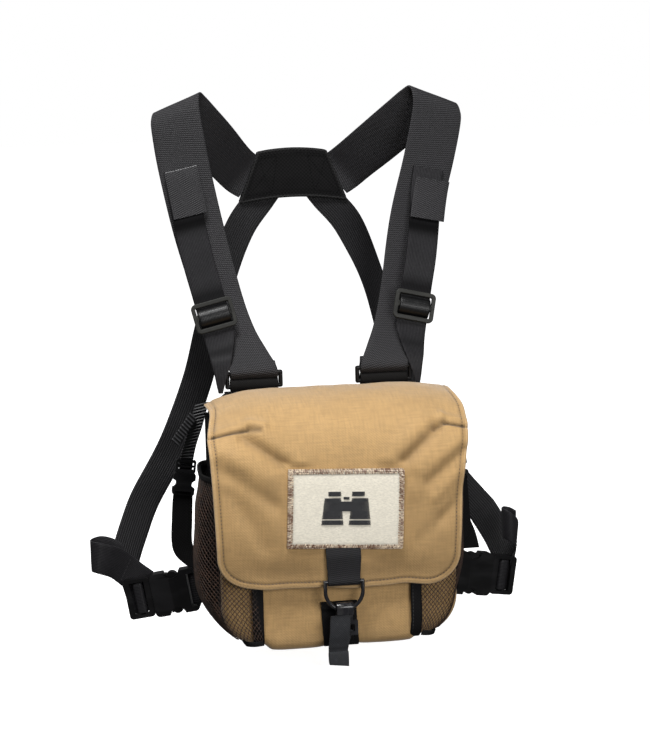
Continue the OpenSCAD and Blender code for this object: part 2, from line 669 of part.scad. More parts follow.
left_side() tether_lower();  // tether_lower_left
tether_lower();  // tether_lower_right
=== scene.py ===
"""Looks of a binocular harness pack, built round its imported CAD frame.

Points and sizes are millimetres in the pack's own frame: +X to the right of a person who looks at the
pack's front, +Y towards the wearer, +Z up. They turn into metres when a mesh is made. Webbing routes
are lists of knots, [x, y, z, across x, across y, across z, width], written for the right side.
"""
import math
import random

import bmesh
import bpy
import numpy as np
from mathutils import Matrix, Vector, noise


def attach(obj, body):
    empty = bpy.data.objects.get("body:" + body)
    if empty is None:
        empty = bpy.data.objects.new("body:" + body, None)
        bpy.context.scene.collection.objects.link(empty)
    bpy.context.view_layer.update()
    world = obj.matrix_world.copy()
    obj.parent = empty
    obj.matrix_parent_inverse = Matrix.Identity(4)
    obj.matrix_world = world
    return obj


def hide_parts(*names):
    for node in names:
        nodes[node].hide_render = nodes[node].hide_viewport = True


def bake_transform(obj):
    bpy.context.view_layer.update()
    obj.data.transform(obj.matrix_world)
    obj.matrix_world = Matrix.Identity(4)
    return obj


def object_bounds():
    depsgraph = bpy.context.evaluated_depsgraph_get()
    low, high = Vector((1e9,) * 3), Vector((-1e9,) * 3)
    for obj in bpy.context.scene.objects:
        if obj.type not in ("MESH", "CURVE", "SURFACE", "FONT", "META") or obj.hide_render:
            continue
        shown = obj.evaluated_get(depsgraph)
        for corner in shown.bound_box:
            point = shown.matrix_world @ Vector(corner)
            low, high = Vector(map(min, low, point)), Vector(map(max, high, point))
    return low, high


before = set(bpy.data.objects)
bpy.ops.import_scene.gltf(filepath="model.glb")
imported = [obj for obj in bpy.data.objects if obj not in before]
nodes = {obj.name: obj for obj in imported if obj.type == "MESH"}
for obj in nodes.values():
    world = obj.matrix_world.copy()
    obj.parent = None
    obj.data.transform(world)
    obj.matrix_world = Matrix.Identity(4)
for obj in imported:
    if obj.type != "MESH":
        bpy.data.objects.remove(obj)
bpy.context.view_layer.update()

MM = 0.001
LEFT, RIGHT = -1, 1
SIDE_NAMES = {LEFT: "left", RIGHT: "right"}
dice = random.Random(7)


# ---------- camera, light and floor ----------

def place_camera():
    """The camera looks at the pack from a little to its left and a little above, slightly rolled."""
    azimuth, elevation, roll = math.radians(-9), math.radians(9), math.radians(1.5)
    target = Vector((0.0046, -0.0044, 0.105))
    distance = 1.88
    back = Vector((math.sin(azimuth) * math.cos(elevation), -math.cos(azimuth) * math.cos(elevation),
                   math.sin(elevation)))
    level = Vector((math.cos(azimuth), math.sin(azimuth), 0))
    upright = back.cross(level)
    right = level * math.cos(roll) - upright * math.sin(roll)
    up = level * math.sin(roll) + upright * math.cos(roll)
    data = bpy.data.cameras.new("camera")
    data.lens = 114
    data.sensor_width = 36
    camera = bpy.data.objects.new("camera", data)
    turn = Matrix((right, up, back)).transposed().to_4x4()
    camera.matrix_world = Matrix.Translation(target + back * distance) @ turn
    bpy.context.scene.collection.objects.link(camera)
    bpy.context.scene.camera = camera


def area_light(name, place, aim, size, power):
    data = bpy.data.lights.new(name, "AREA")
    data.shape = "DISK"
    data.size = size
    data.energy = power
    lamp = bpy.data.objects.new(name, data)
    lamp.location = place
    lamp.rotation_euler = (Vector(aim) - Vector(place)).to_track_quat("-Z", "Y").to_euler()
    bpy.context.scene.collection.objects.link(lamp)


def light_scene():
    """A white backdrop for the camera, a dim even sky for the pack, and soft lamps above it."""
    world = bpy.data.worlds.new("studio")
    bpy.context.scene.world = world
    world.use_nodes = True
    tree = world.node_tree
    seen = tree.nodes.new("ShaderNodeLightPath").outputs["Is Camera Ray"]
    level = tree.nodes.new("ShaderNodeMapRange")
    level.inputs["To Min"].default_value = 0.17
    level.inputs["To Max"].default_value = 1.0
    tree.links.new(seen, level.inputs["Value"])
    sky = tree.nodes["Background"]
    sky.inputs["Color"].default_value = (1, 1, 1, 1)
    tree.links.new(level.outputs[0], sky.inputs["Strength"])
    bpy.context.scene.view_settings.view_transform = "Standard"
    middle = (0, 0, 0.06)
    area_light("key", (-0.3, -0.62, 1.4), middle, 0.55, 25)
    area_light("fill", (0.5, -1.6, 0.45), middle, 0.9, 15.5)
    area_light("rim", (-1.0, 0.5, 0.9), middle, 0.5, 5)


def lay_floor():
    floor_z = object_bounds()[0][2] - 0.004
    bpy.ops.mesh.primitive_plane_add(size=14, location=(0, 0, floor_z))
    floor = bpy.context.object
    floor.name = "floor"
    look = Look("floor_paint", (0.8, 0.8, 0.8), 0.95)
    look.set("Emission Color", (1, 1, 1, 1))
    look.set("Emission Strength", 0.92)
    floor.data.materials.append(look.material)
    floor.visible_diffuse = False
    floor.visible_glossy = False


# ---------- materials ----------

class Look:
    """A material being built: short calls that add nodes and join them up."""

    def __init__(self, name, colour, rough, **settings):
        self.material = bpy.data.materials.new(name)
        self.material.use_nodes = True
        self.tree = self.material.node_tree
        self.shader = self.tree.nodes["Principled BSDF"]
        self.colour, self.relief = colour, None
        self.set("Base Color", (*colour, 1))
        self.set("Roughness", rough)
        for socket, value in settings.items():
            self.set(socket.replace("_", " ").title().replace("Ior", "IOR"), value)

    def fill(self, socket, value):
        if isinstance(value, bpy.types.NodeSocket):
            self.tree.links.new(value, socket)
        else:
            socket.default_value = value

    def set(self, socket, value):
        self.fill(self.shader.inputs[socket], value)

    def add(self, kind, inputs=(), output=0, **properties):
        """Adds a node, fills its inputs in order or by name, and returns one of its outputs."""
        node = self.tree.nodes.new("ShaderNode" + kind)
        for key, value in properties.items():
            setattr(node, key, value)
        for socket, value in inputs.items() if isinstance(inputs, dict) else enumerate(inputs):
            self.fill(node.inputs[socket], value)
        return node.outputs[output]

    def math(self, operation, a, b, clamp=False):
        return self.add("Math", (a, b), operation=operation, use_clamp=clamp)

    def plus(self, a, b):
        return self.math("ADD", a, b)

    def times(self, a, b):
        return self.math("MULTIPLY", a, b)

    def cloth_mm(self):
        """Place on the cloth in millimetres: across, along, side."""
        return self.add("Attribute", output="Vector", attribute_name="weave")

    def tone(self):
        """Painted shade stored on the mesh: how far a spot is darkened in folds, along seams and under other
        parts; thread uses it to pick its second colour.
        """
        return self.add("Attribute", output="Fac", attribute_name="tone")

    def edges(self):
        return self.add("NewGeometry", output="Pointiness")

    def scaled(self, where, by):
        return self.add("VectorMath", (where, by), operation="MULTIPLY")

    def solid_mm(self):
        """Place in the pack's frame in millimetres, for CAD nodes."""
        return self.scaled(self.add("TexCoord", output="Object"), (1000, 1000, 1000))

    def split(self, where):
        return self.add("SeparateXYZ", (where,), slice(None))

    def noise(self, where, size, detail, stretch=(1, 1, 1)):
        """Soft noise whose grains are about size mm, stretched along each axis."""
        place = self.scaled(where, tuple(1 / (size * s) for s in stretch))
        return self.add("TexNoise", {"Vector": place, "Scale": 1.0, "Detail": detail})

    def wave(self, value, period):
        return self.math("SINE", self.times(value, 2 * math.pi / period), 0.0)

    def lift(self, value):
        """Turns -1 to 1 into 0 to 1."""
        return self.plus(self.times(value, 0.5), 0.5)

    def basket(self, first, second, across, along):
        """Raised cells, 0 to 1, across by along mm, every other row offset."""
        return self.lift(self.times(self.wave(first, 2 * across), self.wave(second, 2 * along)))

    def contrast(self, value, low, high):
        """Stretches low..high to 0..1 and clips the rest."""
        return self.math("DIVIDE", self.math("SUBTRACT", value, low), high - low, clamp=True)

    def mix(self, factor, *pair):
        """The first colour where factor is 0, the second where it is 1; each is RGB or a socket."""
        colours = [c if isinstance(c, bpy.types.NodeSocket) else (*c, 1) for c in pair]
        return self.add("MixRGB", (factor, *colours))

    def tint(self, share):
        """The base colour made darker or lighter."""
        return tuple(min(1.0, c * share) for c in self.colour)

    def shades(self, value, low, high, dark, light):
        """Two tints of the base colour, from dark where value is low to light where it is high."""
        return self.mix(self.contrast(value, low, high), self.tint(dark), self.tint(light))

    def spots(self, base, value, low, high, share, tint):
        """The base with a share of another tint laid over it where value is high."""
        return self.mix(self.times(self.contrast(value, low, high), share), base, self.tint(tint))

    def paint_shade(self, base, tint):
        """Sets the final colour: the base, darkened by the painted shade that the mesh's tone holds."""
        self.set("Base Color", self.mix(self.tone(), base, self.tint(tint)))

    def bump(self, height, depth, strength):
        """Adds a relief of depth mm on top of the ones already there."""
        values = {"Strength": strength, "Distance": depth * MM, "Height": height}
        if self.relief:
            values["Normal"] = self.relief
        self.relief = self.add("Bump", values)
        self.set("Normal", self.relief)


def pack_cloth(name, colour, place="cloth_mm"):
    """Coated plain-weave polyester with slubs in both directions."""
    look = Look(name, colour, 0.72, sheen_weight=0.42, sheen_roughness=0.45)
    where = getattr(look, place)()
    x, y, _ = look.split(where)
    weave = look.basket(x, y, 1.15, 1.05)
    both_ways = [look.noise(where, 1.3, 1.0, stretch) for stretch in ((9, 1, 1), (1, 9, 1))]
    slubs = look.times(look.plus(*both_ways), 0.5)
    threads = look.spots(look.shades(slubs, 0.36, 0.64, 0.84, 1.13), weave, 0.1, 0.9, 0.35, 1.3)
    look.paint_shade(look.spots(threads, look.noise(where, 34, 3.0), 0.4, 0.7, 0.3, 0.82), 0.22)
    look.bump(weave, 0.16, 0.8)
    look.bump(slubs, 0.25, 0.5)
    return look.material


def webbing(name, colour, across, along, rib=0, ridge=0, skew=0, rough=0.5, depth=0.3, light=2.6, shine=0.3):
    """Woven strap: raised cells, lengthwise ribs or ridges straight across it, all painted lighter where
    raised as a painted highlight, and brushed thread ends.
    """
    look = Look(name, colour, rough, specular_ior_level=shine)
    where = look.cloth_mm()
    x, y, _ = look.split(where)
    cells = look.basket(x, look.plus(y, look.times(x, skew)), across, along)
    if rib:
        cells = look.plus(look.times(cells, 0.3), look.times(look.lift(look.wave(x, rib)), 0.7))
    if ridge:
        cells = look.lift(look.wave(y, ridge))
    lint = look.noise(where, 1.1, 2.0, (1, 3, 1))
    # lightened: the raised weave painted lighter as a painted highlight, then lighter lint over it
    lightened = look.spots(look.shades(cells, 0.3, 0.95, 0.4, light), lint, 0.52, 0.75, 0.25, 2.4)
    look.paint_shade(look.spots(lightened, look.noise(where, 22, 2.0), 0.4, 0.7, 0.3, 1.4), 0.1)
    look.set("Roughness", look.plus(look.times(look.tone(), 1 - rough), rough))
    look.bump(cells, depth, 0.9)
    look.bump(lint, 0.1, 0.4)
    return look.material


def dark_cloth(name, colour, pitch, rough=0.75, light=1.7):
    """Black pack cloth, elastic or tape: a fine square weave whose raised cells are painted lighter as a
    painted highlight, with a little lint.
    """
    look = Look(name, colour, rough, specular_ior_level=0.12)
    where = look.cloth_mm()
    x, y, _ = look.split(where)
    weave = look.basket(x, y, pitch, pitch)
    lint = look.noise(where, 2.4, 3.0)
    look.paint_shade(look.spots(look.shades(weave, 0.2, 0.95, 0.6, light), lint, 0.55, 0.8, 0.4, 2.4), 0.25)
    look.bump(weave, 0.2, 0.8)
    look.bump(lint, 0.2, 0.35)
    return look.material


def suede(name, colour):
    """Napped face of the patch: soft, with short brushed hairs."""
    look = Look(name, colour, 0.9, sheen_weight=0.5, sheen_roughness=0.6)
    where = look.cloth_mm()
    hairs = look.noise(where, 0.7, 3.0, (2.5, 1, 1))
    nap = look.shades(hairs, 0.35, 0.65, 0.86, 1.08)
    look.paint_shade(look.spots(nap, look.noise(where, 9, 3.0), 0.42, 0.62, 0.35, 0.88), 0.45)
    look.bump(hairs, 0.22, 0.6)
    return look.material


def thread(name, colour, other, rough=0.5, shine=0.2, gloss=0.5):
    """Sewing thread whose stitches differ in tone, with fine twist lines."""
    look = Look(name, colour, rough, sheen_weight=shine, specular_ior_level=gloss)
    x, y, _ = look.split(look.cloth_mm())
    twist = look.lift(look.wave(look.plus(x, y), 0.5))
    two_tone = look.mix(look.tone(), colour, other)
    look.set("Base Color", look.mix(look.times(twist, 0.35), two_tone, look.tint(0.5)))
    look.bump(twist, 0.06, 0.6)
    return look.material


def moulded(name, colour, rough, depth=0.05):
    """Moulded plastic: fine spark-eroded grain, scuffs, and edges painted lighter for rubbed wear and as a
    painted highlight.
    """
    look = Look(name, colour, rough, specular_ior_level=0.17)
    where = look.solid_mm()
    scuffs = look.noise(where, 7, 4.0, (3, 1, 1))
    base = look.shades(scuffs, 0.5, 0.7, 0.9, 1.7)
    # edges painted lighter: rubbed wear and a painted highlight
    look.set("Base Color", look.spots(base, look.edges(), 0.51, 0.58, 0.5, 4.0))
    look.set("Roughness", look.plus(look.times(look.contrast(scuffs, 0.35, 0.7), 0.18), rough - 0.06))
    look.bump(look.noise(where, 0.6, 3.0), depth, 0.5)
    return look.material


def black_steel(name):
    """Painted steel of the ring and hook: glossy black, matt on the hook's plate, with rubs."""
    look = Look(name, (0.014, 0.014, 0.016), 0.22, specular_ior_level=0.42)
    where = look.solid_mm()
    matt = look.times(look.contrast(look.split(where)[2], -66, -69), 0.7)
    rubs = look.noise(where, 3.5, 4.0, (1, 1, 2))
    lightened = look.times(look.contrast(look.edges(), 0.5, 0.6), look.contrast(rubs, 0.45, 0.6))
    look.set("Base Color", look.mix(lightened, (0.01, 0.01, 0.012), (0.07, 0.068, 0.065)))
    look.set("Roughness", look.plus(look.plus(look.times(rubs, 0.25), 0.06), matt))
    look.bump(rubs, 0.04, 0.4)
    return look.material


def spacer_mesh(name):
    """Breathable padding cloth on the wearer's side: rows of small open cells, painted dark as the shade
    inside them.
    """
    look = Look(name, (0.022, 0.022, 0.024), 0.85, sheen_weight=0.4, sheen_roughness=0.5)
    where = look.solid_mm()
    x, _, z = look.split(where)
    cells = look.contrast(look.basket(x, z, 2.6, 2.2), 0.5, 0.8)
    lint = look.mix(look.noise(where, 1.2, 2.0), look.tint(0.8), look.tint(2.0))
    # painted shade: the sunken open cells take a dark tint
    look.set("Base Color", look.mix(cells, lint, look.tint(0.25)))
    look.bump(look.math("SUBTRACT", 1.0, cells), 0.7, 0.9)
    return look.material


def foam(name, colour, size):
    """Closed-cell foam or a pressed sheet: fine pores and slow colour change."""
    look = Look(name, colour, 0.85)
    where = look.solid_mm()
    look.set("Base Color", look.shades(look.noise(where, 18, 3.0), 0.35, 0.65, 0.8, 1.25))
    look.bump(look.add("TexVoronoi", {"Vector": where, "Scale": 1 / size}, "Distance"), 0.3, 0.7)
    return look.material


paint = {
    "tan": pack_cloth("tan_cloth", (0.40, 0.245, 0.095)),
    # a lighter copy of the tan cloth for the flap's rolled edge, a painted highlight
    "tan_edge_painted_highlight": pack_cloth("tan_edge_cloth", (0.45, 0.29, 0.13)),
    "tan_inside": pack_cloth("tan_inside_cloth", (0.36, 0.24, 0.11), "solid_mm"),
    "lining": dark_cloth("lining_cloth", (0.05, 0.045, 0.04), 0.8, 0.6, 1.3),
    "black_cloth": dark_cloth("black_cloth", (0.0042, 0.004, 0.0042), 1.2),
    "yoke_cloth": dark_cloth("yoke_cloth", (0.003, 0.0028, 0.003), 1.5, light=2.0),
    "yoke_edge": dark_cloth("yoke_edge_cloth", (0.012, 0.0118, 0.012), 1.5),
    "elastic": dark_cloth("elastic_band", (0.005, 0.0047, 0.0046), 0.9),
    "grey_tape": dark_cloth("grey_tape", (0.03, 0.031, 0.034), 0.9, 0.5, 1.6),
    "wide": webbing("wide_webbing", (0.0165, 0.0161, 0.0173), 1.5, 0.8, skew=0.3, light=3.2, shine=0.12),
    "ribbed": webbing("ribbed_webbing", (0.0062, 0.006, 0.0066), 0.75, 0.9, rib=1.8, depth=0.35, light=3.2,
                      shine=0.14),
    "sleek": webbing("sleek_webbing", (0.0155, 0.015, 0.0165), 0.6, 0.7, rib=1.2, rough=0.4, depth=0.12,
                     light=1.6, shine=0.1),
    # a darker copy of the sleek webbing where it wraps the tri-glide's bar, painted shade
    "bight": webbing("bight_webbing_painted_shade", (0.003, 0.003, 0.0033), 0.6, 0.7, rib=1.2, rough=0.38, depth=0.1,
                     light=1.6),
    "narrow": webbing("narrow_webbing", (0.008, 0.008, 0.0085), 3.0, 1.1, ridge=2.7, depth=0.9, light=6.0),
    "suede": suede("patch_suede", (0.74, 0.69, 0.575)),
    # bronze border thread whose cream second colour stands in as a painted glint
    "border": thread("border_thread", (0.17, 0.07, 0.03), (0.95, 0.8, 0.6), 0.3),
    "brown_thread": thread("brown_thread", (0.04, 0.02, 0.007), (0.09, 0.05, 0.02)),
    "black_thread": thread("black_thread", (0.005, 0.005, 0.0055), (0.3, 0.3, 0.305), 0.7, 0.0, 0.08),
    "mark_thread": thread("mark_thread", (0.014, 0.014, 0.016), (0.026, 0.026, 0.029)),
    "net": thread("net_thread", (0.017, 0.008, 0.0045), (0.07, 0.034, 0.019), 0.5, 0.0),
    "steel": black_steel("black_steel"),
    "plastic": moulded("black_plastic", (0.0035, 0.0034, 0.0037), 0.36),
    "glide": moulded("glide_plastic", (0.016, 0.016, 0.0145), 0.5, 0.08),
    "spacer": spacer_mesh("spacer_mesh"),
    "foam": foam("pad_foam", (0.07, 0.07, 0.075), 0.9),
    "board": foam("stiffener_board", (0.5, 0.5, 0.48), 2.0),
}


# ---------- mesh helpers ----------

def unit(v):
    v = np.asarray(v, float)
    return v / np.maximum(np.linalg.norm(v, axis=-1, keepdims=True), 1e-9)


def catmull(points, steps):
    """Smooth line through the rows of points, with steps pieces from each to the next."""
    p = np.asarray(points, float)
    out = []
    for i in range(len(p) - 1):
        a, b, c, d = p[max(i - 1, 0)], p[i], p[i + 1], p[min(i + 2, len(p) - 1)]
        for k in range(steps):
            t = k / steps
            out.append(0.5 * (2 * b + (c - a) * t + (2 * a - 5 * b + 4 * c - d) * t * t
                              + (3 * b - a - 3 * c + d) * t ** 3))
    out.append(p[-1])
    return np.array(out)


def run_of(line):
    """Length along a line at each of its points."""
    steps = np.linalg.norm(np.diff(line, axis=0), axis=1)
    return np.concatenate([[0], np.cumsum(steps)])


def tangents(line):
    return unit(np.gradient(line, axis=0))


def smooth(x, low, high):
    t = np.clip((np.asarray(x, float) - low) / (high - low), 0, 1)
    return t * t * (3 - 2 * t)


def wander(a, b, level):
    """Smooth noise at each point of two equal grids."""
    values = [noise.noise(Vector((p, q, level))) for p, q in zip(np.ravel(a), np.ravel(b))]
    return np.array(values).reshape(np.shape(a))


def add_mesh(name, points, faces, material, weave=None, tone=None):
    """A mesh object from points in mm. weave is each point's place on the cloth, tone its darkening."""
    mesh = bpy.data.meshes.new(name)
    mesh.from_pydata((np.asarray(points, float) * MM).reshape(-1, 3).tolist(), [], faces)
    for layer, kind, field, values in (("weave", "FLOAT_VECTOR", "vector", weave),
                                       ("tone", "FLOAT", "value", tone)):
        if values is not None:
            data = mesh.attributes.new(layer, kind, "POINT").data
            data.foreach_set(field, np.asarray(values, np.float32).ravel())
    work = bmesh.new()
    work.from_mesh(mesh)
    bmesh.ops.recalc_face_normals(work, faces=work.faces)
    work.to_mesh(mesh)
    work.free()
    mesh.shade_smooth()
    mesh.set_sharp_from_angle(angle=math.radians(42))
    mesh.materials.append(paint[material])
    made = bpy.data.objects.new(name, mesh)
    bpy.context.scene.collection.objects.link(made)
    return made


def settle(piece, body, slot, *stands_for):
    """Ties a finished piece to its body and hides the CAD nodes it stands for; slot is not used."""
    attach(piece, body)
    if stands_for:
        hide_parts(*stands_for)


def grid_faces(rows, cols, first=0, wrap=False):
    """Quads of a rows by cols grid of points; wrap joins the last column to the first."""
    out = []
    for i in range(rows - 1):
        for k in range(cols if wrap else cols - 1):
            a, b = first + i * cols + k, first + i * cols + (k + 1) % cols
            out.append((a, b, b + cols, a + cols))
    return out


def slab(name, top, bottom, material, place, tone=None):
    """A closed sheet between two grids of points, rows x cols x 3; place is its two cloth coordinates."""
    rows, cols = top.shape[:2]
    count = rows * cols
    ids = np.arange(count).reshape(rows, cols)
    rim = np.concatenate([ids[0], ids[1:, -1], ids[-1, -2::-1], ids[-2:0:-1, 0]]).tolist()
    faces = grid_faces(rows, cols) + grid_faces(rows, cols, count)
    faces += [(a, b, count + b, count + a) for a, b in zip(rim, rim[1:] + rim[:1])]
    weave = np.stack(np.broadcast_arrays(*place, 1.0), -1)
    tones = None if tone is None else [tone, tone]
    return add_mesh(name, [top, bottom], faces, material, [weave, weave], tones)


def on_side(route, side):
    """A right side's route, turned over for the left."""
    out = np.array(route, float)
    if side == LEFT:
        out[:, 0] *= -1
        if out.shape[1] > 3:
            out[:, 3] *= -1
    return out


def knots(rows, width):
    """Full knots, from rows that may leave out the width, or that and an across direction of +X."""
    return [[*row[:3], *(row[3:6] or (1, 0, 0)), *(row[6:] or [width])] for row in rows]


class Band:
    """A strap's smooth path, which its mesh and what is sewn on it share."""

    def __init__(self, route, thick, steps=6, cup=0.0, ripple=0.0, seed=0.0, shade=()):
        path = catmull(route, steps) if steps > 1 else np.asarray(route, float)
        self.line, self.across, self.width = path[:, :3], unit(path[:, 3:6]), path[:, 6]
        self.lift = unit(np.cross(tangents(self.line), self.across))
        self.run = run_of(self.line)
        self.thick, self.cup, self.ripple, self.seed, self.shade = thick, cup, ripple, seed, shade

    def offset(self, i, x):
        """How far the cloth stands off its path at ring i, x mm across."""
        share = 2 * x / self.width[i]
        ends = min(1.0, self.run[i] / 12, (self.run[-1] - self.run[i]) / 12)
        wave = noise.noise(Vector((self.run[i] / 26, x / 30, self.seed)))
        return self.cup * (1 - share * share) + ends * self.ripple * wave

    def spot(self, run, x, above):
        """Point run mm along, x mm across and above mm over the face, with the face's direction."""
        i = int(np.clip(np.searchsorted(self.run, run), 0, len(self.run) - 1))
        mid = np.array([np.interp(run, self.run, self.line[:, c]) for c in range(3)])
        high = self.offset(i, x) + above
        return mid + self.across[i] * x + self.lift[i] * high, self.lift[i]

    def mesh(self, name, material):
        half = self.thick / 2
        edge = [0, 0.12, 0.45, 1.0]
        inner = np.linspace(-1, 1, 9)[1:-1]
        points, weave, tone = [], [], []
        for i, centre in enumerate(self.line):
            # painted shade: dark spots along the strap from its shade list of run, spread and amount, kept
            # as its tone
            dark = max([amount * math.exp(-((self.run[i] - run) / spread) ** 2)
                        for run, spread, amount in self.shade], default=0.0)
            reach = self.width[i] / 2
            xs = [-reach + half * e for e in edge] + list(inner * (reach - half))
            xs += [reach - half * e for e in reversed(edge)]
            ring = []
            for x in xs:
                near = min(1.0, (reach - abs(x)) / half)
                ring.append((x, half * math.sqrt(max(0.0, 1 - (1 - near) ** 2))))
            loop = ring + [(x, -h) for x, h in reversed(ring[1:-1])]
            for x, h in loop:
                high = h + self.offset(i, x)
                points.append(centre + self.across[i] * x + self.lift[i] * high)
                weave.append((x, self.run[i], 1.0 if h >= 0 else -1.0))
                tone.append(dark)
        size, stations, count = len(loop), len(ring), len(self.line)
        faces = grid_faces(count, size, wrap=True)
        for base in (0, (count - 1) * size):
            for k in range(stations - 1):
                far = [base + (size - k) % size, base + (size - k - 1) % size]
                quad = [base + k, base + k + 1, far[1], far[0]]
                faces.append(tuple(dict.fromkeys(quad)))
        return add_mesh(name, points, faces, material, weave, tone)


def strap(name, route, thick, material, *stands_for, body="pack", slot="webbing", **shape):
    """A webbing piece along a route. Returns its band, for stitches."""
    band = Band(route, thick, **shape)
    settle(band.mesh(name, material), body, slot, *stands_for)
    return band


def blend_strap(band, name, material, stands_for):
    """A strap between two bodies, baked into world space and tied to neither, with the CAD node it stands
    for hidden.
    """
    made = band.mesh(name, material)
    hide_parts(stands_for)
    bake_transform(made)


class Sewing:
    """Collects stitches of one thread on one body, and makes them into one mesh."""

    def __init__(self, name, body, slot, material):
        self.name, self.body, self.slot, self.material = name, body, slot, material
        self.points, self.faces, self.weave, self.tone = [], [], [], []

    def tube(self, line, radius, tone, tips=0.45, sides=5):
        """One piece of thread along a short line, with narrowed tips."""
        line = np.asarray(line, float)
        run = run_of(line)
        way = tangents(line)
        rings = len(line)
        first = len(self.points)
        for i in range(rings):
            side = unit(np.cross(way[i], (0.31, 0.52, 0.79)))
            up = np.cross(way[i], side)
            r = radius * (tips if i in (0, rings - 1) else 1)
            for k in range(sides):
                turn = 2 * math.pi * k / sides
                self.points.append(line[i] + (side * math.cos(turn) + up * math.sin(turn)) * r)
                self.weave.append((run[i], radius * turn, 0))
                self.tone.append(tone)
        self.faces += grid_faces(rings, sides, first, wrap=True)
        self.faces.append(tuple(first + k for k in range(sides)))
        self.faces.append(tuple(first + (rings - 1) * sides + k for k in range(sides)))

    def seam(self, line, normals, pitch=3.0, share=0.7, radius=0.24, tone=None):
        """A row of lock stitches along a line on the cloth."""
        line, normals = np.asarray(line, float), np.asarray(normals, float)
        run = run_of(line)
        count = max(1, int(run[-1] / pitch))
        for n in range(count):
            start = (n + 0.5 - share / 2 + dice.uniform(-0.03, 0.03)) * run[-1] / count
            length = share * run[-1] / count
            bit = []
            for part, sink in ((0, -0.8), (0.25, 0.25), (0.75, 0.25), (1, -0.8)):
                at = start + part * length
                p = np.array([np.interp(at, run, line[:, c]) for c in range(3)])
                up = unit(np.array([np.interp(at, run, normals[:, c]) for c in range(3)]))
                bit.append(p + up * radius * sink)
            self.tube(bit, radius, dice.random() if tone is None else tone)

    def on_band(self, band, start, end, above=None, **style):
        """A seam on a strap's face from (run, x) to (run, x)."""
        steps = 24
        above = band.thick / 2 if above is None else above
        sign = 1 if above >= 0 else -1
        spots = [band.spot(start[0] + (end[0] - start[0]) * k / steps,
                           start[1] + (end[1] - start[1]) * k / steps, above) for k in range(steps + 1)]
        self.seam([s[0] for s in spots], [sign * s[1] for s in spots], **style)

    def finish(self):
        made = add_mesh(self.name, self.points, self.faces, self.material, self.weave, self.tone)
        settle(made, self.body, self.slot)
        return made


black_seams = Sewing("black_seams", "pack", "webbing", "black_thread")


# ---------- flap ----------

FLAP_HALF, FLAP_NARROWING, FLAP_CORNER = 101, 7, 24
FLAP_CLOTH = 2.6                    # thickness of the flap's outer cloth
FLAP_LINE = [[-11, 96.0], [-16, 97.4], [-30, 97.6], [-46, 95.8], [-62, 91.4], [-76, 84], [-86, 74.5],
             [-92.5, 61], [-95.6, 43], [-96.6, 22], [-96.8, 0], [-96.2, -18], [-95.5, -28],
             [-94.9, -35], [-94.6, -39.5], [-94.4, -42.5]]
flap_path = catmull(FLAP_LINE, 12)
flap_run = run_of(flap_path)
flap_long = flap_run[-1]
front_part = flap_path[:, 1] < 88
PATCH_AT, PATCH_SIZE, PATCH_LEAN = (3.1, 16.3), (88, 60), math.radians(2.5)

# Soft folds in the flap's cloth: x, z of one end, x, z of the other, width, height, painted shade darkening
# the fold.
FOLDS = [
    [-101, 76.3, -68, 78.6, 1.1, -1.7, 1.0], [-99, 80.5, -66, 82, 3.2, 1.3, 0],
    [-68, 78.6, -59, 77, 2.0, -1.6, 0.62], [-66, 83, -56, 79, 4, 1.4, 0],
    [-72, 73.5, -43, 52, 4.4, -3.4, 0.3], [-58, 77, -30, 54, 8, 2.0, 0],
    [-88, 64, -54, 43, 7.5, 1.9, 0], [-92, 52, -52, 22, 6, -1.7, 0.07],
    [-78, 56, -44, 26, 8, 1.1, 0], [-84, 30, -60, -10, 7, -1.4, 0.05], [-70, 38, -48, 0, 8, 1.2, 0],
    [106, 72.5, 83, 76.5, 1.1, -1.7, 1.0], [104, 77, 82, 81, 3.2, 1.3, 0],
    [83, 76.5, 75, 72.5, 2.0, -1.6, 0.62], [82, 81, 72, 77, 4, 1.4, 0],
    [77, 73, 50, 50.5, 4.4, -3.4, 0.3], [66, 76, 38, 54, 8, 2.0, 0],
    [94, 64, 62, 44, 6.5, 1.9, 0], [97, 56, 68, 34, 4.5, -2.0, 0.12], [98, 44, 72, 22, 5, 1.5, 0],
    [98, 28, 78, 6, 4.5, -1.5, 0.07], [84, 50, 56, 28, 7, 1.0, 0], [88, 12, 60, -10, 6, -0.9, 0.03],
    [-60, -34, 60, -38, 9, -1.0, 0.04]]


def half_wide(s, side):
    """Half width of the flap at run s, before its corner."""
    if side == LEFT:
        return FLAP_HALF - FLAP_NARROWING * s / flap_long - 8 * (1 - smooth(s, 30, 88))
    wide = FLAP_HALF - (FLAP_NARROWING + 3) * s / flap_long
    return wide + 4.5 * (1 - smooth(s, 80, 135)) - 5 * (1 - smooth(s, 15, 62))


def flap_width(s, inset, side):
    """Half width of the flap at run s, with its rounded corner."""
    wide = half_wide(s, side) - inset
    r = FLAP_CORNER - inset
    left = np.clip(flap_long + 2.5 - inset - s, 0, r)
    return wide - r + np.sqrt(np.maximum(r * r - (r - left) ** 2, 0))


def flap_base(s):
    """Middle line of the flap at run s, as y and z, and its outward direction."""
    y, z = np.interp(s, flap_run, flap_path[:, 0]), np.interp(s, flap_run, flap_path[:, 1])
    end = flap_path[-1] - flap_path[-6]
    end = end / np.linalg.norm(end)
    past = np.maximum(s - flap_long, 0)
    way = tangents(flap_path)
    ty, tz = np.interp(s, flap_run, way[:, 0]), np.interp(s, flap_run, way[:, 1])
    return y + past * end[0], z + past * end[1], tz, -ty


def run_at(z):
    """Run at which the flap's front passes height z."""
    return np.interp(-np.asarray(z, float), -flap_path[front_part, 1], flap_run[front_part])


def segment_distance(x, z, ax, az, bx, bz):
    dx, dz = bx - ax, bz - az
    t = np.clip(((x - ax) * dx + (z - az) * dz) / (dx * dx + dz * dz), 0, 1)
    return np.hypot(x - ax - t * dx, z - az - t * dz)


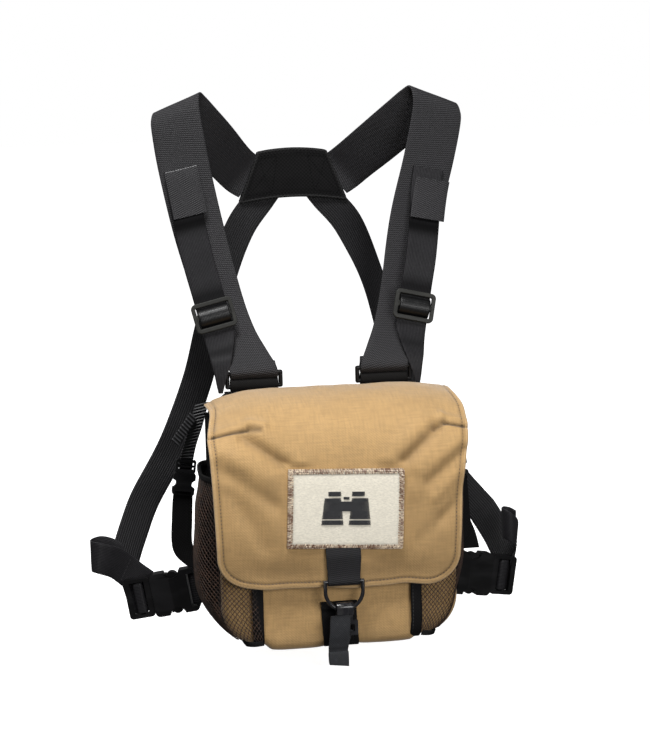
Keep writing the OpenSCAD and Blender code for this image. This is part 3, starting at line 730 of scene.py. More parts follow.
def flap_relief(x, s):
    """Height of the cloth's folds at x, s, and how much painted shade darkens it."""
    z = flap_base(s)[1]
    front = smooth(s, 52, 72)
    height, tone = np.zeros_like(x), np.zeros_like(x)
    for *ends, width, rise, dark in FOLDS:
        gap = segment_distance(x, z, *ends)
        height += rise * np.exp(-(gap / width) ** 2)
        tone = np.maximum(tone, dark * np.exp(-(gap / (width * 0.9)) ** 2))
    sewn = np.exp(-(edge_gap(x, s) - 4.0) ** 2 / 0.8)
    height = height * front - 0.5 * sewn
    soft = wander(x / 38, s / 34, 3.7) + 0.4 * wander(x / 13, s / 15, 9.1)
    calm = patch_mask(x, z)
    curl = 2.6 * smooth(s, flap_long - 36, flap_long) * smooth(np.abs(x), 15, 32)
    height = height * (1 - calm) + 0.75 * soft * (1 - 0.8 * calm)
    # painted shade: in the fold valleys, in the groove of the edge seam, and more towards the flap's bottom
    tone = tone * front * (1 - calm) + 0.42 * sewn + 0.08 * smooth(s, 100, 150) + 0.1 * smooth(s, 170, 195)
    return height - curl, tone


def patch_local(x, z):
    """Place of x, z in the patch's own leaning frame."""
    dx, dz = x - PATCH_AT[0], z - PATCH_AT[1]
    c, s = math.cos(PATCH_LEAN), math.sin(PATCH_LEAN)
    return dx * c - dz * s, dx * s + dz * c


def patch_mask(x, z):
    """1 under the patch and the closure tab, where the cloth lies flat, and 0 away from them."""
    a, b = patch_local(x, z)
    apart = np.maximum(np.abs(a) - PATCH_SIZE[0] / 2, np.abs(b) - PATCH_SIZE[1] / 2)
    tab = np.maximum(np.abs(x) - 13, z - 20)
    return 1 - smooth(np.minimum(apart, tab), 0, 7)


def edge_gap(x, s):
    """Distance in from the flap's bound edge."""
    r = FLAP_CORNER
    gaps = []
    for side in (LEFT, RIGHT):
        in_x, in_s = half_wide(s, side) - side * x, flap_long + 2.5 - s
        corner = r - np.hypot(np.minimum(in_x - r, 0), np.minimum(in_s - r, 0))
        gaps.append(np.where((in_x < r) & (in_s < r), corner, np.minimum(in_x, in_s)))
    return np.minimum(gaps[0], gaps[1])


def flap_droop(x, s):
    fall = np.where(x < 0, 13, 5)
    share = np.maximum(np.abs(x) - 50, 0) / 50
    return (fall - (fall - 3) * np.clip((s - 60) / 45, 0, 1)) * share ** 2


def flap_surface(x, s, lift):
    """Points of the flap at x mm across and s mm along, lift mm over its middle, with the tone."""
    x, s = np.broadcast_arrays(np.asarray(x, float), np.asarray(s, float))
    slant = s + 2.6 * x / 90 * np.clip((s - 110) / 80, 0, 1)
    slant = slant + (0.6 * np.sin(x / 10.5) + 0.4 * np.sin(x / 4.9 + 1)) * smooth(s, 165, flap_long)
    y, z, ny, nz = flap_base(slant)
    relief, tone = flap_relief(x, s)
    rise = lift + relief - flap_droop(x, s)
    return np.stack([x, y + ny * rise, z + nz * rise], -1), tone


def flap_rows(first=0.0, inset=2.0):
    body = np.arange(first, flap_long - FLAP_CORNER, 1.05)
    turn = np.sin(np.linspace(0, math.pi / 2, 22))
    return np.concatenate([body, flap_long - FLAP_CORNER + (FLAP_CORNER + 2.5 - inset) * turn])


def flap_sheet(name, material, low, high, inset, first, slot, stands_for):
    s = flap_rows(first, inset)
    share = np.linspace(-1, 1, 191)
    left, right = flap_width(s, inset, LEFT), flap_width(s, inset, RIGHT)
    x = np.where(share < 0, share * left[:, None], share * right[:, None])
    run = np.broadcast_to(s[:, None], x.shape)
    top, tone = flap_surface(x, run, high)
    bottom, _ = flap_surface(x, run, low)
    settle(slab(name, top, bottom, material, (x, run), tone), "flap", slot, stands_for)


def flap_rim(inset, lift, first=2.0):
    """The flap's edge from the hinge down the right side, along the bottom and up the left."""
    s = flap_rows(first, inset)
    right, left = flap_width(s, inset, RIGHT), -flap_width(s, inset, LEFT)
    bottom = np.linspace(right[-1], left[-1], 60)[1:-1]
    x = np.concatenate([right, bottom, left[::-1]])
    run = np.concatenate([s, np.full(len(bottom), s[-1]), s[::-1]])
    points, _ = flap_surface(x, run, lift)
    above, _ = flap_surface(x, run, lift + 1)
    keep = np.concatenate([[True], np.linalg.norm(np.diff(points, axis=0), axis=1) > 0.05])
    return points[keep], unit(above - points)[keep]


def make_flap():
    half = FLAP_CLOTH / 2
    flap_sheet("flap_cover", "tan", -half, half, 1.6, 0.0, "tan_fabric", "flap_shell")
    flap_sheet("flap_inner", "lining", -half - 1.3, -half - 0.3, 3.2, 6.0, "lining", "flap_lining")
    points, above = flap_rim(0.9, -0.5)
    out = unit(np.cross(tangents(points), above))
    route = np.concatenate([points, out, np.full((len(points), 1), 3.4)], 1)
    strap("flap_edge", route, 2.9, "tan_edge_painted_highlight", "flap_binding", body="flap", slot="tan_fabric", steps=1)
    sewn, up = flap_rim(4.0, half - 0.1, 30.0)
    sewing = Sewing("flap_seams", "flap", "tan_fabric", "brown_thread")
    sewing.seam(sewn, up, pitch=2.8, share=0.6, radius=0.4)
    sewing.finish()


# ---------- patch ----------

def patch_point(a, b, lift):
    """Point of the flap's face under a, b of the patch's frame."""
    c, s = math.cos(PATCH_LEAN), math.sin(PATCH_LEAN)
    a, b = np.asarray(a, float), np.asarray(b, float)
    x = PATCH_AT[0] + a * c + b * s
    z = PATCH_AT[1] - a * s + b * c
    points, _ = flap_surface(x, run_at(z), FLAP_CLOTH / 2 + lift)
    return points


def in_mark(a, b):
    """Whether a, b is inside the patch's plain mark: a pair of binoculars seen from above."""
    a = abs(a)
    tube = -13 < b < 8 and abs(a - 10.5) < 6.3 + 0.11 * (8 - b) and not -9.4 < b < -8.2
    eyecup = 9.2 <= b < 13.5 and abs(a - 9.2) < 5
    hinge = a < 5.5 and -2.5 < b < 5.5 or a < 2.4 and 6.6 < b < 9
    return tube or eyecup or hinge


def make_patch():
    half_w, half_h = PATCH_SIZE[0] / 2, PATCH_SIZE[1] / 2
    a, b = np.meshgrid(np.linspace(-half_w, half_w, 90), np.linspace(-half_h, half_h, 62))
    wide = a + 0.4 * np.sin(b / 7 + 1) * (np.abs(a) / half_w) ** 6
    high = b + 0.5 * np.sin(a / 9) * (np.abs(b) / half_h) ** 6
    puff = 0.35 * np.cos(a / half_w * 1.4) * np.cos(b / half_h * 1.4)
    rim = np.minimum(half_w - np.abs(a), half_h - np.abs(b))
    # painted shade on the suede under and just inside the border threads
    tone = 0.55 * np.exp(-np.maximum(rim - 3.2, 0) ** 2)
    cloth = slab("patch_face", patch_point(wide, high, 1.7 + puff), patch_point(wide, high, 0.1), "suede",
                 (a, b), tone)
    settle(cloth, "flap", "patch", "patch")

    border = Sewing("patch_border", "flap", "bronze_thread", "border")
    pitch, reach = 0.66, 3.3
    for half, other, upright in ((half_w, half_h, False), (half_h, half_w, True)):
        for out in (-1, 1):
            for n in range(int(2 * half / pitch)):
                along = -half + (n + dice.uniform(0.2, 0.8)) * pitch
                cluster = 0.5 + 0.5 * noise.noise(Vector((along / 7, out * 9.0 + other, 0.4)))
                lean = dice.uniform(0.5, 1.3)
                for first, last, low, top in ((-0.7, 0.5, 0.6, 1.9), (0.3, 1.9, 2.0, 2.3),
                                              (1.7, reach + dice.uniform(-0.3, 0.5), 2.2, 1.4)):
                    inward = np.linspace(first, last, 3)
                    line = (along + lean * inward / reach, out * (other - inward))
                    rises = np.array([low, max(low, top) + 0.15, top])
                    # how much painted glint each piece of border thread gets, by cluster and at random: a
                    # high value picks the cream colour
                    shade = min(1.0, max(0.0, cluster * 0.9 + dice.uniform(-0.6, 0.55)))
                    border.tube(patch_point(*line[::-1 if upright else 1], rises),
                                dice.uniform(0.3, 0.42), shade, tips=0.75)
    border.finish()

    mark = Sewing("patch_mark", "flap", "webbing", "mark_thread")
    for row in np.arange(-14, 14, 0.5):
        inside = [x for x in np.arange(-22, 22, 0.25) if in_mark(x, row - 1)]
        start = None
        for x, following in zip(inside, inside[1:] + [1e9]):
            start = x if start is None else start
            if following - x > 0.3:
                if x - start > 1.0:
                    ends = np.linspace(start, x, 5) + dice.uniform(-0.15, 0.15)
                    line = patch_point(ends, np.full(5, row), 2.3 + np.array([0, 0.2, 0.26, 0.2, 0]))
                    mark.tube(line, 0.3, dice.random(), tips=0.7)
                start = None
    mark.finish()


# ---------- closure ----------

BAR_Y, BAR_Z, BAR_R = -99.6, -39.5, 2.45    # closure ring's top bar and the radius of the tab round it


def flap_face(x, z, lift):
    point, _ = flap_surface(np.array([x]), run_at(np.array([z])), FLAP_CLOTH / 2 + lift)
    return point[0]


def make_closure():
    front = [flap_face(0, -11.5, 1.0), *([0, BAR_Y - 1.5, z] for z in (-19, -26, -34))]
    turn = [[0, BAR_Y - BAR_R * math.cos(t), BAR_Z - BAR_R * math.sin(t)]
            for t in np.radians([0, 35, 70, 110, 145, 180])]
    behind = [[0, BAR_Y + 1.2, z] for z in (-34, -28)]
    route = [[*p, 1, 0, 0, width] for p, width in zip(front, (27, 27, 26.6, 25.2))]
    # painted shade where the tab wraps the ring's bar, and a weaker painted shade along the whole tab
    strap("closure_band", route + knots(turn + behind, 24.8), 1.35, "wide", "closure_tab", body="flap",
          shade=[(29, 4, 0.4), (10, 90, 0.3)])

    down = [[-2.4, -86.2, -58], [-2.4, -86.6, -62], [-2.2, -87.2, -72], [-1.6, -87.0, -82],
            [-0.6, -84.5, -91.2], [0, -77, -94.6], [0, -62, -94.6]]
    strap("front_band", knots(down, 27.5), 1.8, "black_cloth", "closure_webbing")
    hem = [[-2.4, -88.1, -57.6], [-2.4, -88.4, -63]]
    strap("front_band_hem", knots(hem, 28), 1.5, "black_cloth", ripple=0.6)
    loop = [[0, -92.8, -80], [0, -92.4, -86], [0, -90, -89.5], [0, -87.4, -89.4]]
    blend_strap(Band(knots(loop, 15), 1.2), "hook_loop", "elastic",
                "hook_elastic")

    on_hook = {"body": "hook", "slot": "grey_tape"}
    tape = [[-3.9, -102.7, -65.2, 1, 0, 0.02, 15.2], [-4.1, -102.6, -70, 1, 0, 0.03, 15.8],
            [-4.5, -101.2, -80, 1, 0, 0.03, 15.6], [-5.6, -98.9, -90, 1, 0, 0.01, 15],
            [-5.5, -98.1, -97, 1, 0, -0.05, 15], [-5.2, -98.0, -104.8, 1, 0, -0.12, 15.2]]
    # painted shade under the hook at the tape's top and in a line just above its hem
    pull = strap("pull_tape", tape, 1.5, "grey_tape", "pull_tab", cup=0.25, ripple=0.9, seed=3,
                 shade=[(0, 3, 0.5), (27, 1.3, 0.6)], **on_hook)
    back = [[0, -94.7, -79], [-3, -95.2, -86], [-5.4, -96.4, -96, 1, 0, -0.04],
            [-5.2, -96.3, -104.8, 1, 0, -0.12]]
    strap("pull_tape_back", knots(back, 15), 1.4, "grey_tape", **on_hook)
    end = [[-5.6, -99.7, -94.4, 1, 0, 0.02, 15.6], [-5.5, -99.9, -98, 1, 0, -0.05, 15.8],
           [-5.2, -99.5, -105.2, 1, 0, -0.12, 15.4]]
    strap("pull_tape_hem", end, 1.6, "grey_tape", ripple=0.8, seed=5, **on_hook)
    sewn = Sewing("pull_seams", "hook", "grey_tape", "black_thread")
    sewn.on_band(pull, (31.5, -6.3), (31.5, 6.3), above=2.4, pitch=2.2, tone=0.1)
    sewn.finish()


# ---------- pack ----------

BODY_HALF, BASE_Z, LOWER_R = 92, -90, 30
CORNER_X = BODY_HALF - LOWER_R
FRONT_Y, REAR_Y, FRONT_ROUND = -84, -8.5, 7
FRONT_TOP = 66


def body_outline(count=40):
    """The pack's outline from the front, from its left top corner under it to the right."""
    side = [[-BODY_HALF, z] for z in np.linspace(FRONT_TOP, BASE_Z + LOWER_R, 32)[:-1]]
    turn = [[-CORNER_X - LOWER_R * math.cos(t), BASE_Z + LOWER_R - LOWER_R * math.sin(t)]
            for t in np.linspace(0, math.pi / 2, 14)]
    base = [[x, BASE_Z] for x in np.linspace(-CORNER_X, 0, count)[1:]]
    left = np.array(side + turn + base)
    line = np.concatenate([left, left[:-1][::-1] * [-1, 1]])
    x = line[:, 0]
    lobes = np.maximum(0, 1 - ((np.abs(x) - 34) / 30) ** 4) * np.where(x < 0, 4.4, 3.4)
    sag = (1.6 + lobes) * smooth(CORNER_X - np.abs(x), 0, 8)
    line[:, 1] -= np.where(line[:, 1] < BASE_Z + 1, sag, 0)
    return line


def front_bulge(x, z):
    """How far the front panel's cloth stands out of its plane."""
    belly = np.cos(np.clip(x / 62, -1, 1) * math.pi / 2) * smooth(z, -92, -70) * (1 - smooth(z, 20, 60))
    dents = 1.1 * np.exp(-(segment_distance(x, z, 20, -92, 44, -50) / 5) ** 2)
    dents += 0.9 * np.exp(-(segment_distance(x, z, -50, -90, -30, -52) / 6) ** 2)
    above_base = smooth(z, -90, -76)
    return 1.5 * belly + 0.8 * wander(x / 30, z / 26, 5.5) * above_base - dents * above_base


def make_front():
    """Front panel: a fan of rows from the pack's outline in to the middle of its top edge."""
    outline, centre = body_outline(), np.array([0, FRONT_TOP])

    def row(flat, y):
        return np.stack([flat[:, 0], y + 0 * flat[:, 0], flat[:, 1]], -1)

    rows = [row(outline + unit(centre - outline) * (FRONT_ROUND * (1 - math.cos(t))),
                FRONT_Y + FRONT_ROUND * (1 - math.sin(t))) for t in np.radians([0, 22, 45, 67, 90])]
    edge = rows[-1][:, [0, 2]]
    for share in np.linspace(0, 0.998, 41)[1:]:
        flat = edge + (centre - edge) * share
        rows.append(row(flat, FRONT_Y - front_bulge(flat[:, 0], flat[:, 1]) * smooth(share, 0, 0.08)))
    top = np.array(rows)
    bottom = top + [0, 2.2, 0]
    bottom[..., [0, 2]] += (centre - bottom[..., [0, 2]]) * 0.018
    # painted shade: the front cloth darkens towards the base, where it turns under
    near_base = smooth(-top[..., 2], 80, 92) * 0.25
    sheet = slab("front_cloth", top, bottom, "tan", (top[..., 0], top[..., 2]), near_base)
    settle(sheet, "pack", "tan_fabric", "front_panel")


def wall_strip(name, outline, material, slot, stands_for):
    """A strip of the pack's wall along part of its outline, from the front edge to the rear wall."""
    run, y = np.meshgrid(run_of(outline), np.linspace(FRONT_Y + FRONT_ROUND, REAR_Y - 0.3, 26))
    points = np.stack(np.broadcast_arrays(outline[:, 0], y, outline[:, 1]), -1)
    way = unit(np.gradient(outline, axis=0))
    normal = np.stack([-way[:, 1], np.zeros(len(way)), way[:, 0]], -1)
    outward = normal[:, [0]] * outline[:, [0]] + normal[:, [2]] * outline[:, [1]] > 0
    normal = np.where(outward, -normal, normal)
    top = points + normal * wander(run / 28, y / 24, 1.3)[..., None] * 0.5
    settle(slab(name, top, top + normal * 2.2, material, (run, y)), "pack", slot, stands_for)


def make_walls():
    outline = body_outline()
    middle = np.where(np.abs(outline[:, 0]) <= CORNER_X + 0.5)[0]
    wall_strip("base_cloth", outline[middle[0]:middle[-1] + 1], "tan", "tan_fabric", "bottom_panel")
    for side, name in SIDE_NAMES.items():
        top = [[side * BODY_HALF, 77.0], [side * BODY_HALF, 71.5]]
        part = [top, outline[:middle[0] + 1]] if side == LEFT else [outline[middle[-1]:], top[::-1]]
        wall_strip(f"gusset_{name}", np.concatenate(part), "black_cloth", "black_fabric",
                   f"side_gusset_{name}")
        x = 65 if side == LEFT else 58.2
        tape = [[x, -86.6, 43], [x, -87.2, 20], [x, -87.5, -20], [x, -87.5, -60], [x, -87.2, -76],
                [x - 0.4, -85.2, -85.5], [x - 0.6, -80, -90.2]]
        under = [[px, py + 1.7, pz] for px, py, pz in tape[:-1]]
        strap(f"binding_base_{name}", on_side(knots(under, 7.4), side), 2.2, "black_cloth",
              slot="black_fabric")
        band = strap(f"binding_{name}", on_side(knots(tape, 8.6), side), 2.2, "black_cloth",
                     "pocket_bindings", slot="black_fabric", cup=0.4, ripple=0.5, seed=side)
        black_seams.on_band(band, (4, -2.8), (band.run[-1] - 6, -2.8), pitch=2.8, tone=0.25)


QUILTING = [[-34, 60, -34, -60], [34, 60, 34, -60], [-34, 60, 34, 60], [-34, -60, 34, -60]]
PAD_HALF_X, PAD_HALF_Z, PAD_CORNER = 90.5, 94, 26
PAD_MIDDLE, PAD_PROUD, MOST_PUFF = -3.8, 0.9, 2.6
PUFF_FRAMES, RIM_FADE = 20, 14


def puffed_up(pad):
    """Places of the pad's points after the cloth simulation has blown it up."""
    cloth = pad.modifiers.new("cloth", "CLOTH")
    cloth.settings.use_pressure = True
    cloth.settings.uniform_pressure_force = 4
    cloth.settings.effector_weights.gravity = 0
    cloth.settings.quality = 5
    cloth.point_cache.frame_start, cloth.point_cache.frame_end = 1, PUFF_FRAMES
    scene = bpy.context.scene
    for number in range(1, PUFF_FRAMES + 1):
        scene.frame_set(number)
    puffed = places(pad.evaluated_get(bpy.context.evaluated_depsgraph_get()))
    pad.modifiers.remove(cloth)
    scene.frame_set(1)
    return puffed


def places(piece):
    """A piece's points in mm."""
    return np.array([v.co[:] for v in piece.data.vertices]) / MM


def make_back():
    """Padded back panel: a thin slab that cloth simulation puffs up, quilted afterwards."""
    r, mid_x, mid_z = PAD_CORNER, PAD_HALF_X - PAD_CORNER, PAD_HALF_Z - PAD_CORNER
    corners = ((mid_x, mid_z, 0), (-mid_x, mid_z, 90), (-mid_x, -mid_z, 180), (mid_x, -mid_z, 270))
    outline = np.array([[cx + r * math.cos(math.radians(turn)), cz + r * math.sin(math.radians(turn))]
                        for cx, cz, start in corners for turn in range(start, start + 91, 10)])
    count = len(outline)
    points = [[x, y, z] for y in (-6.2, -1.4) for x, z in outline]
    faces = [tuple(range(count)), tuple(range(count, 2 * count))]
    faces += [(k, (k + 1) % count, count + (k + 1) % count, count + k) for k in range(count)]
    pad = add_mesh("back_pad", points, faces, "spacer")
    bpy.context.view_layer.objects.active = pad
    pad.select_set(True)
    remesh = pad.modifiers.new("remesh", "REMESH")
    remesh.mode = "VOXEL"
    remesh.voxel_size = 0.005
    bpy.ops.object.modifier_apply(modifier="remesh")
    moved = rest = places(pad)
    move = (puffed_up(pad) - rest) * [0.15, 1, 0.15]
    size = np.linalg.norm(move, axis=1, keepdims=True)
    moved = rest + move * np.minimum(1, MOST_PUFF / np.maximum(size, 1e-6))
    pad.data.vertices.foreach_set("co", (moved * MM).ravel())
    fine = pad.modifiers.new("fine", "SUBSURF")
    fine.levels = fine.render_levels = 2
    bpy.ops.object.modifier_apply(modifier="fine")
    pad.select_set(False)
    # remeshing and smoothing shrink the pad, so it is brought back out to its binding
    spots = places(pad)
    reach = np.abs(spots).max(axis=0)
    x, y, z = (spots * [(PAD_HALF_X + PAD_PROUD) / reach[0], 1, (PAD_HALF_Z + PAD_PROUD) / reach[2]]).T
    past = np.maximum(np.abs(x) - PAD_HALF_X, np.abs(z) - PAD_HALF_Z) + RIM_FADE
    near_rim = smooth(past, 0, RIM_FADE)
    press = np.zeros(len(spots))
    for line in QUILTING:
        press = np.maximum(press, np.exp(-(segment_distance(x, z, *line) / 2.6) ** 2))
    y = PAD_MIDDLE + (y - PAD_MIDDLE) * (1 - 0.62 * press) * (1 - 0.25 * near_rim)
    y = np.clip(y, -7.6, 1.6)
    pad.data.vertices.foreach_set("co", (np.stack([x, y, z], -1) * MM).ravel())
    settle(pad, "pack", "black_fabric", "back_panel")
    route = [[x * 1.004, -3.9, z * 1.004, 0, 1, 0, 7.6] for x, z in [*outline, outline[0]]]
    strap("back_binding", route, 2.0, "black_cloth", slot="black_fabric", steps=3)
    for ax, az, bx, bz in QUILTING:
        line = np.linspace([ax, -2.0, az], [bx, -2.0, bz], 12)
        black_seams.seam(line, np.tile([0.0, 1.0, 0.0], (12, 1)), pitch=3.4)


# ---------- mesh pockets ----------

POCKET_PLAN = [[62, -87.4], [70, -88.6], [80, -89], [90, -86.8], [98, -80.5], [103.4, -71], [105.4, -60],
               [105.6, -45], [104.6, -30], [101.5, -18], [96.5, -11], [92.8, -9], [90.6, -9.2]]
pocket_plan = catmull(POCKET_PLAN, 8)
pocket_plan_run = run_of(pocket_plan)
POCKET_TOP, CELL_S, CELL_Z, WIRE = 40, 3.5, 4.2, 0.85
NET_BACK = 70.0                     # how far round its plan a pocket's back cloth begins


def pocket_point(s, z, side, out=0.0):
    """Point of a pocket's net s mm round its plan, at height z."""
    x, y = (np.interp(s, pocket_plan_run, pocket_plan[:, axis]) for axis in (0, 1))
    body = CORNER_X + np.sqrt(np.maximum(LOWER_R ** 2 - np.minimum(z - BASE_Z - LOWER_R, 0) ** 2, 0))
    reach = 60 + np.sqrt(np.maximum(45 ** 2 - np.minimum(z + 45, 0) ** 2, 0))
    outer = np.clip((reach - body) / 13, 0.1, 1)
    if side == LEFT:
        outer = outer * (1.02 + 0.22 * np.exp(-((z + 30) / 30) ** 2) - 0.3 * smooth(z, 12, 42))
    else:
        outer = outer * (0.66 - 0.34 * smooth(-z, 25, 62))
        body = body - 4.5 * smooth(-z, 30, 75) * (1 - smooth(-z, 84, 91))
    inner = (body - CORNER_X) / LOWER_R
    placed = np.where(x < BODY_HALF, CORNER_X + (x - CORNER_X) * inner, body + (x - BODY_HALF) * outer)
    share = np.clip((placed - 88) / 13, 0, 1)
    sway = 1.1 * wander(s / 24, z / 30, 2.0 * side)
    bulge = out + sway * np.sin(np.clip(s / pocket_plan_run[-1], 0, 1) * math.pi)
    return np.stack([side * (placed + bulge * share), y - bulge * (1 - share), z + 0 * s], -1)


def make_pockets():
    around = pocket_plan_run[-1]
    net_run = NET_BACK + 8
    cols = int(net_run / CELL_S * 2)
    heights = np.arange(POCKET_TOP, BASE_Z + 2.6, -CELL_Z / 2)
    cloth = {"slot": "black_fabric"}
    for side, name in SIDE_NAMES.items():
        s, z = np.meshgrid(np.linspace(0, net_run, cols + 1), heights)
        skew = 1.6 * np.sin(s / 22) + 1.2 * np.sin(z / 19 + side) + 0.35 * np.sin(s * 1.9 + z * 1.3)
        points = pocket_point(s, z + skew * smooth(s, 0, 12) * smooth(-z, -40, -22), side)
        middles = [i * (cols + 1) + k for i in range(1, len(heights) - 1)
                   for k in range(1 + (i + 1) % 2, cols, 2)]
        faces = [(at - cols - 1, at + 1, at + cols + 1, at - 1) for at in middles]
        tone = [dice.random() for _ in range(s.size)]
        net = add_mesh(f"net_{name}", points, faces, "net", np.stack([s, z, np.ones_like(s)], -1), tone)
        wire = net.modifiers.new("threads", "WIREFRAME")
        wire.thickness = WIRE * MM
        wire.use_boundary = True
        wire.use_even_offset = False
        settle(net, "pack", "mesh", f"mesh_pocket_{name}")

        s, z = np.meshgrid(np.linspace(NET_BACK, around, 30), np.linspace(POCKET_TOP + 1, BASE_Z + 1, 70))
        settle(slab(f"pocket_back_{name}", pocket_point(s, z, side, -0.7), pocket_point(s, z, side, -1.7),
                    "black_cloth", (s, z)), "pack", "black_fabric")

        foot = pocket_point(np.linspace(0, around, 40), np.full(40, BASE_Z + 2.8), side, -0.3)
        strap(f"pocket_foot_{name}", [[*p, side * 0.4, 0, 0.92, 4.4] for p in foot], 1.8, "black_cloth",
              steps=2, **cloth)
        hem = pocket_point(np.linspace(0, around, 34), np.full(34, POCKET_TOP + 0.8), side, 0.4)
        strap(f"pocket_hem_{name}", [[*p, 0, 0, 1, 4.6] for p in hem], 2.0, "elastic", "mesh_hems",
              steps=3, ripple=0.5, **cloth)


# ---------- harness ----------

WIDE, NARROW = 38, 25
WIDE_T, NARROW_T = 1.8, 1.5
YOKE_Y = 112.2
UPRIGHT = (0, 0, 1)
GLIDE_AT, GLIDE_TURN = (80.5, 9, 155), (-15, 13, 0)
BUCKLE_AT, BUCKLE_TURN = (102.6, -3, -61), (0, 9.4, 11.7)


def turned(v, angles):
    """v turned about X, then Y, then Z."""
    turn = Matrix.Identity(3)
    for axis, angle in zip("XYZ", angles):
        turn = Matrix.Rotation(math.radians(angle), 3, axis) @ turn
    return list(turn @ Vector(v))


def in_buckle(*spots):
    """A narrow strap's knots in the right buckle's frame, from pairs: along it, and behind its middle."""
    across = [*turned(UPRIGHT, BUCKLE_TURN), NARROW]
    return [[*(np.array(BUCKLE_AT) + turned((u, y, 0), BUCKLE_TURN)), *across] for u, y in spots]


def shoulder_route(spread):
    high = WIDE + 3.2
    return knots([
        [50, 2.6, 117.5, 1, 0, 0, WIDE - 6], [51.5, 0.8, 113.5, 1, 0, 0, WIDE - 2], [52, 0.4, 109.5],
        [52, -3, 105.9], [52, -6.4, 109.5], [53.5, -4.4, 115, 1, 0, -0.04], [59, 3, 124, 0.98, 0, -0.12],
        [67, 14, 139, 0.97, 0, -0.24], [75, 25, 167, 0.97, 0, -0.24],
        [87.3, 38, 220, 0.975, 0, -0.22, high - 0.6], [96.8 + 0.6 * spread, 44, 270, 0.98, 0, -0.2, high],
        [101.2 + spread, 47, 302, 0.96, 0, -0.28, high], [101.8 + spread, 49.5, 314, 0.94, 0, -0.34, high],
        [99.5 + spread, 54.5, 320, 0.92, 0, -0.38, high], [95 + 0.9 * spread, 60, 316, 0.9, 0, -0.43, high],
        [84.5 + 0.7 * spread, 68, 304, 0.84, 0, -0.54, high - 0.4],
        [67 + 0.4 * spread, 84, 285, 0.76, 0, -0.65, WIDE + 1.6], [51, 102, 267, 0.72, 0, -0.69],
        [41.5, YOKE_Y - 1.2, 258.2, 0.68, 0, -0.73], [34, YOKE_Y, 252.4, 0.64, 0, -0.77, WIDE - 2]], WIDE)


def leaning(width, *spots):
    """Knots of a strap that lies back as the shoulder strap does."""
    return [[*spot, 0.98, 0, -0.2, width] for spot in spots]


OVERLAYS = {
    LEFT: leaning(27.5, (99.6, 42.0, 269), (98.4, 39.4, 261), (95.8, 36.0, 245), (94.0, 32.8, 232)),
    RIGHT: leaning(28, (103.6, 38.8, 253), (101.2, 36.6, 244), (98.6, 33.0, 233), (96.4, 29.6, 222))}
GLIDE_LINE = [np.array(GLIDE_AT) + turned((0, 2.85, t), GLIDE_TURN) for t in (44, 20, -4, -15)]
ADJUSTER = knots([
    *leaning(NARROW, (100.6, 41.0, 262), (97.5, 37.6, 245)), [94.2, 31.0, 220, 0.977, 0, -0.21],
    *([*p, 0.974, 0, -0.225] for p in GLIDE_LINE), [76.6, 3.2, 130, 0.97, 0.05, -0.22, 21.5],
    [77.2, -3.2, 119, 0.97, 0.1, -0.16, 16], [78, -5.4, 109, 0.96, 0.16, -0.1, 10.5],
    [78.8, -6, 101, 0.96, 0.2, 0, 6.5], [79, -6.2, 94.8, 0.96, 0.2, 0, 3.5]], NARROW)
SIDE_TOP = [[16, 114.3, 252, 0.86, 0, 0.5], [28, 114.3, 236, 0.84, 0, 0.54]]
SIDES = {
    LEFT: [*SIDE_TOP, [45.5, 110.5, 213, 0.84, 0, 0.54], [62.5, 103, 175, 0.9, 0, 0.43],
           [76, 94, 130, 0.94, 0, 0.33], [88.5, 84, 90, 0.93, 0, 0.36], [111, 68, 42, 0.9, 0, 0.43],
           [136.5, 52, 3, 0.86, 0, 0.5], [147, 41.7, -18, 0.87, 0, 0.49]],
    RIGHT: [*SIDE_TOP, [46, 110.5, 213, 0.86, 0.1, 0.5], [62, 103, 174, 0.78, 0.5, 0.38],
            [73.5, 94, 130, 0.85, 0.4, 0.33], [82, 84, 86, 0.92, 0.1, 0.36], [97, 68, 34, 0.83, 0, 0.56],
            [121.5, 52, 1.5, 0.79, 0, 0.61], [141, 41.7, -22, 0.78, 0, 0.62]]}
ENDS = {
    LEFT: [SIDES[LEFT][-1], [153.5, 34, -33, 0.84, 0, 0.54], [157, 27, -44, 0.74, 0, 0.67],
           [159, 20, -52, 0.58, 0, 0.81], [160, 15, -58, 0.42, 0, 0.9]],
    RIGHT: [SIDES[RIGHT][-1], [149, 33, -37, 0.76, 0, 0.65], [152.5, 26, -47, 0.68, 0, 0.73],
            [155, 20, -54.5, 0.55, 0, 0.83], [157.5, 15, -60, 0.42, 0, 0.9]]}
LADDER_END = in_buckle((57, 3.3), (51, 3.15), (46, 3.1), (41.9, 2.9))
LADDER_TURN = in_buckle((44.2, 2.4), (42.9, 0), (43.9, -2.5), (46.5, -3), (49.2, -2.5), (50.8, -0.3),
                        (53.4, 1.25), (57, 1.3))
TAILS = {
    LEFT: [[141, 11.6, -60.5, -0.42, 0, 0.9], [149, 13, -54.5, -0.45, 0, 0.89],
           [157, 12.6, -47.5, -0.45, 0, 0.89], [165, 10, -40.5, -0.4, 0, 0.92],
           [173, 6.5, -36.5, -0.25, 0, 0.97], [180, 4.8, -34, -0.1, 0, 1], [184.4, 7.4, -33, *UPRIGHT],
           [183.4, 12.4, -32, *UPRIGHT], [177, 15.4, -31, -0.1, 0, 1], [169.5, 15.6, -33.5, -0.3, 0, 0.95],
           [163, 15.2, -39, -0.4, 0, 0.92]],
    RIGHT: [[157.6, 9, -63, 0.18, 0, 0.98, 19], [157.8, 7, -53, 0.34, 0.2, 0.92, 16],
            [158.2, 3.2, -43, 0.24, 0, 0.97, 20], [158.6, -2.8, -34, 0.08, 0, 1],
            *([*p, *UPRIGHT] for p in ((154.6, -5.8, -28.5), (150, -4, -25.5), (148.2, 1.5, -24.5),
                                       (150.8, 6, -24.5), (155.6, 5.4, -25.5), (159.2, 1.6, -27.5)))]}
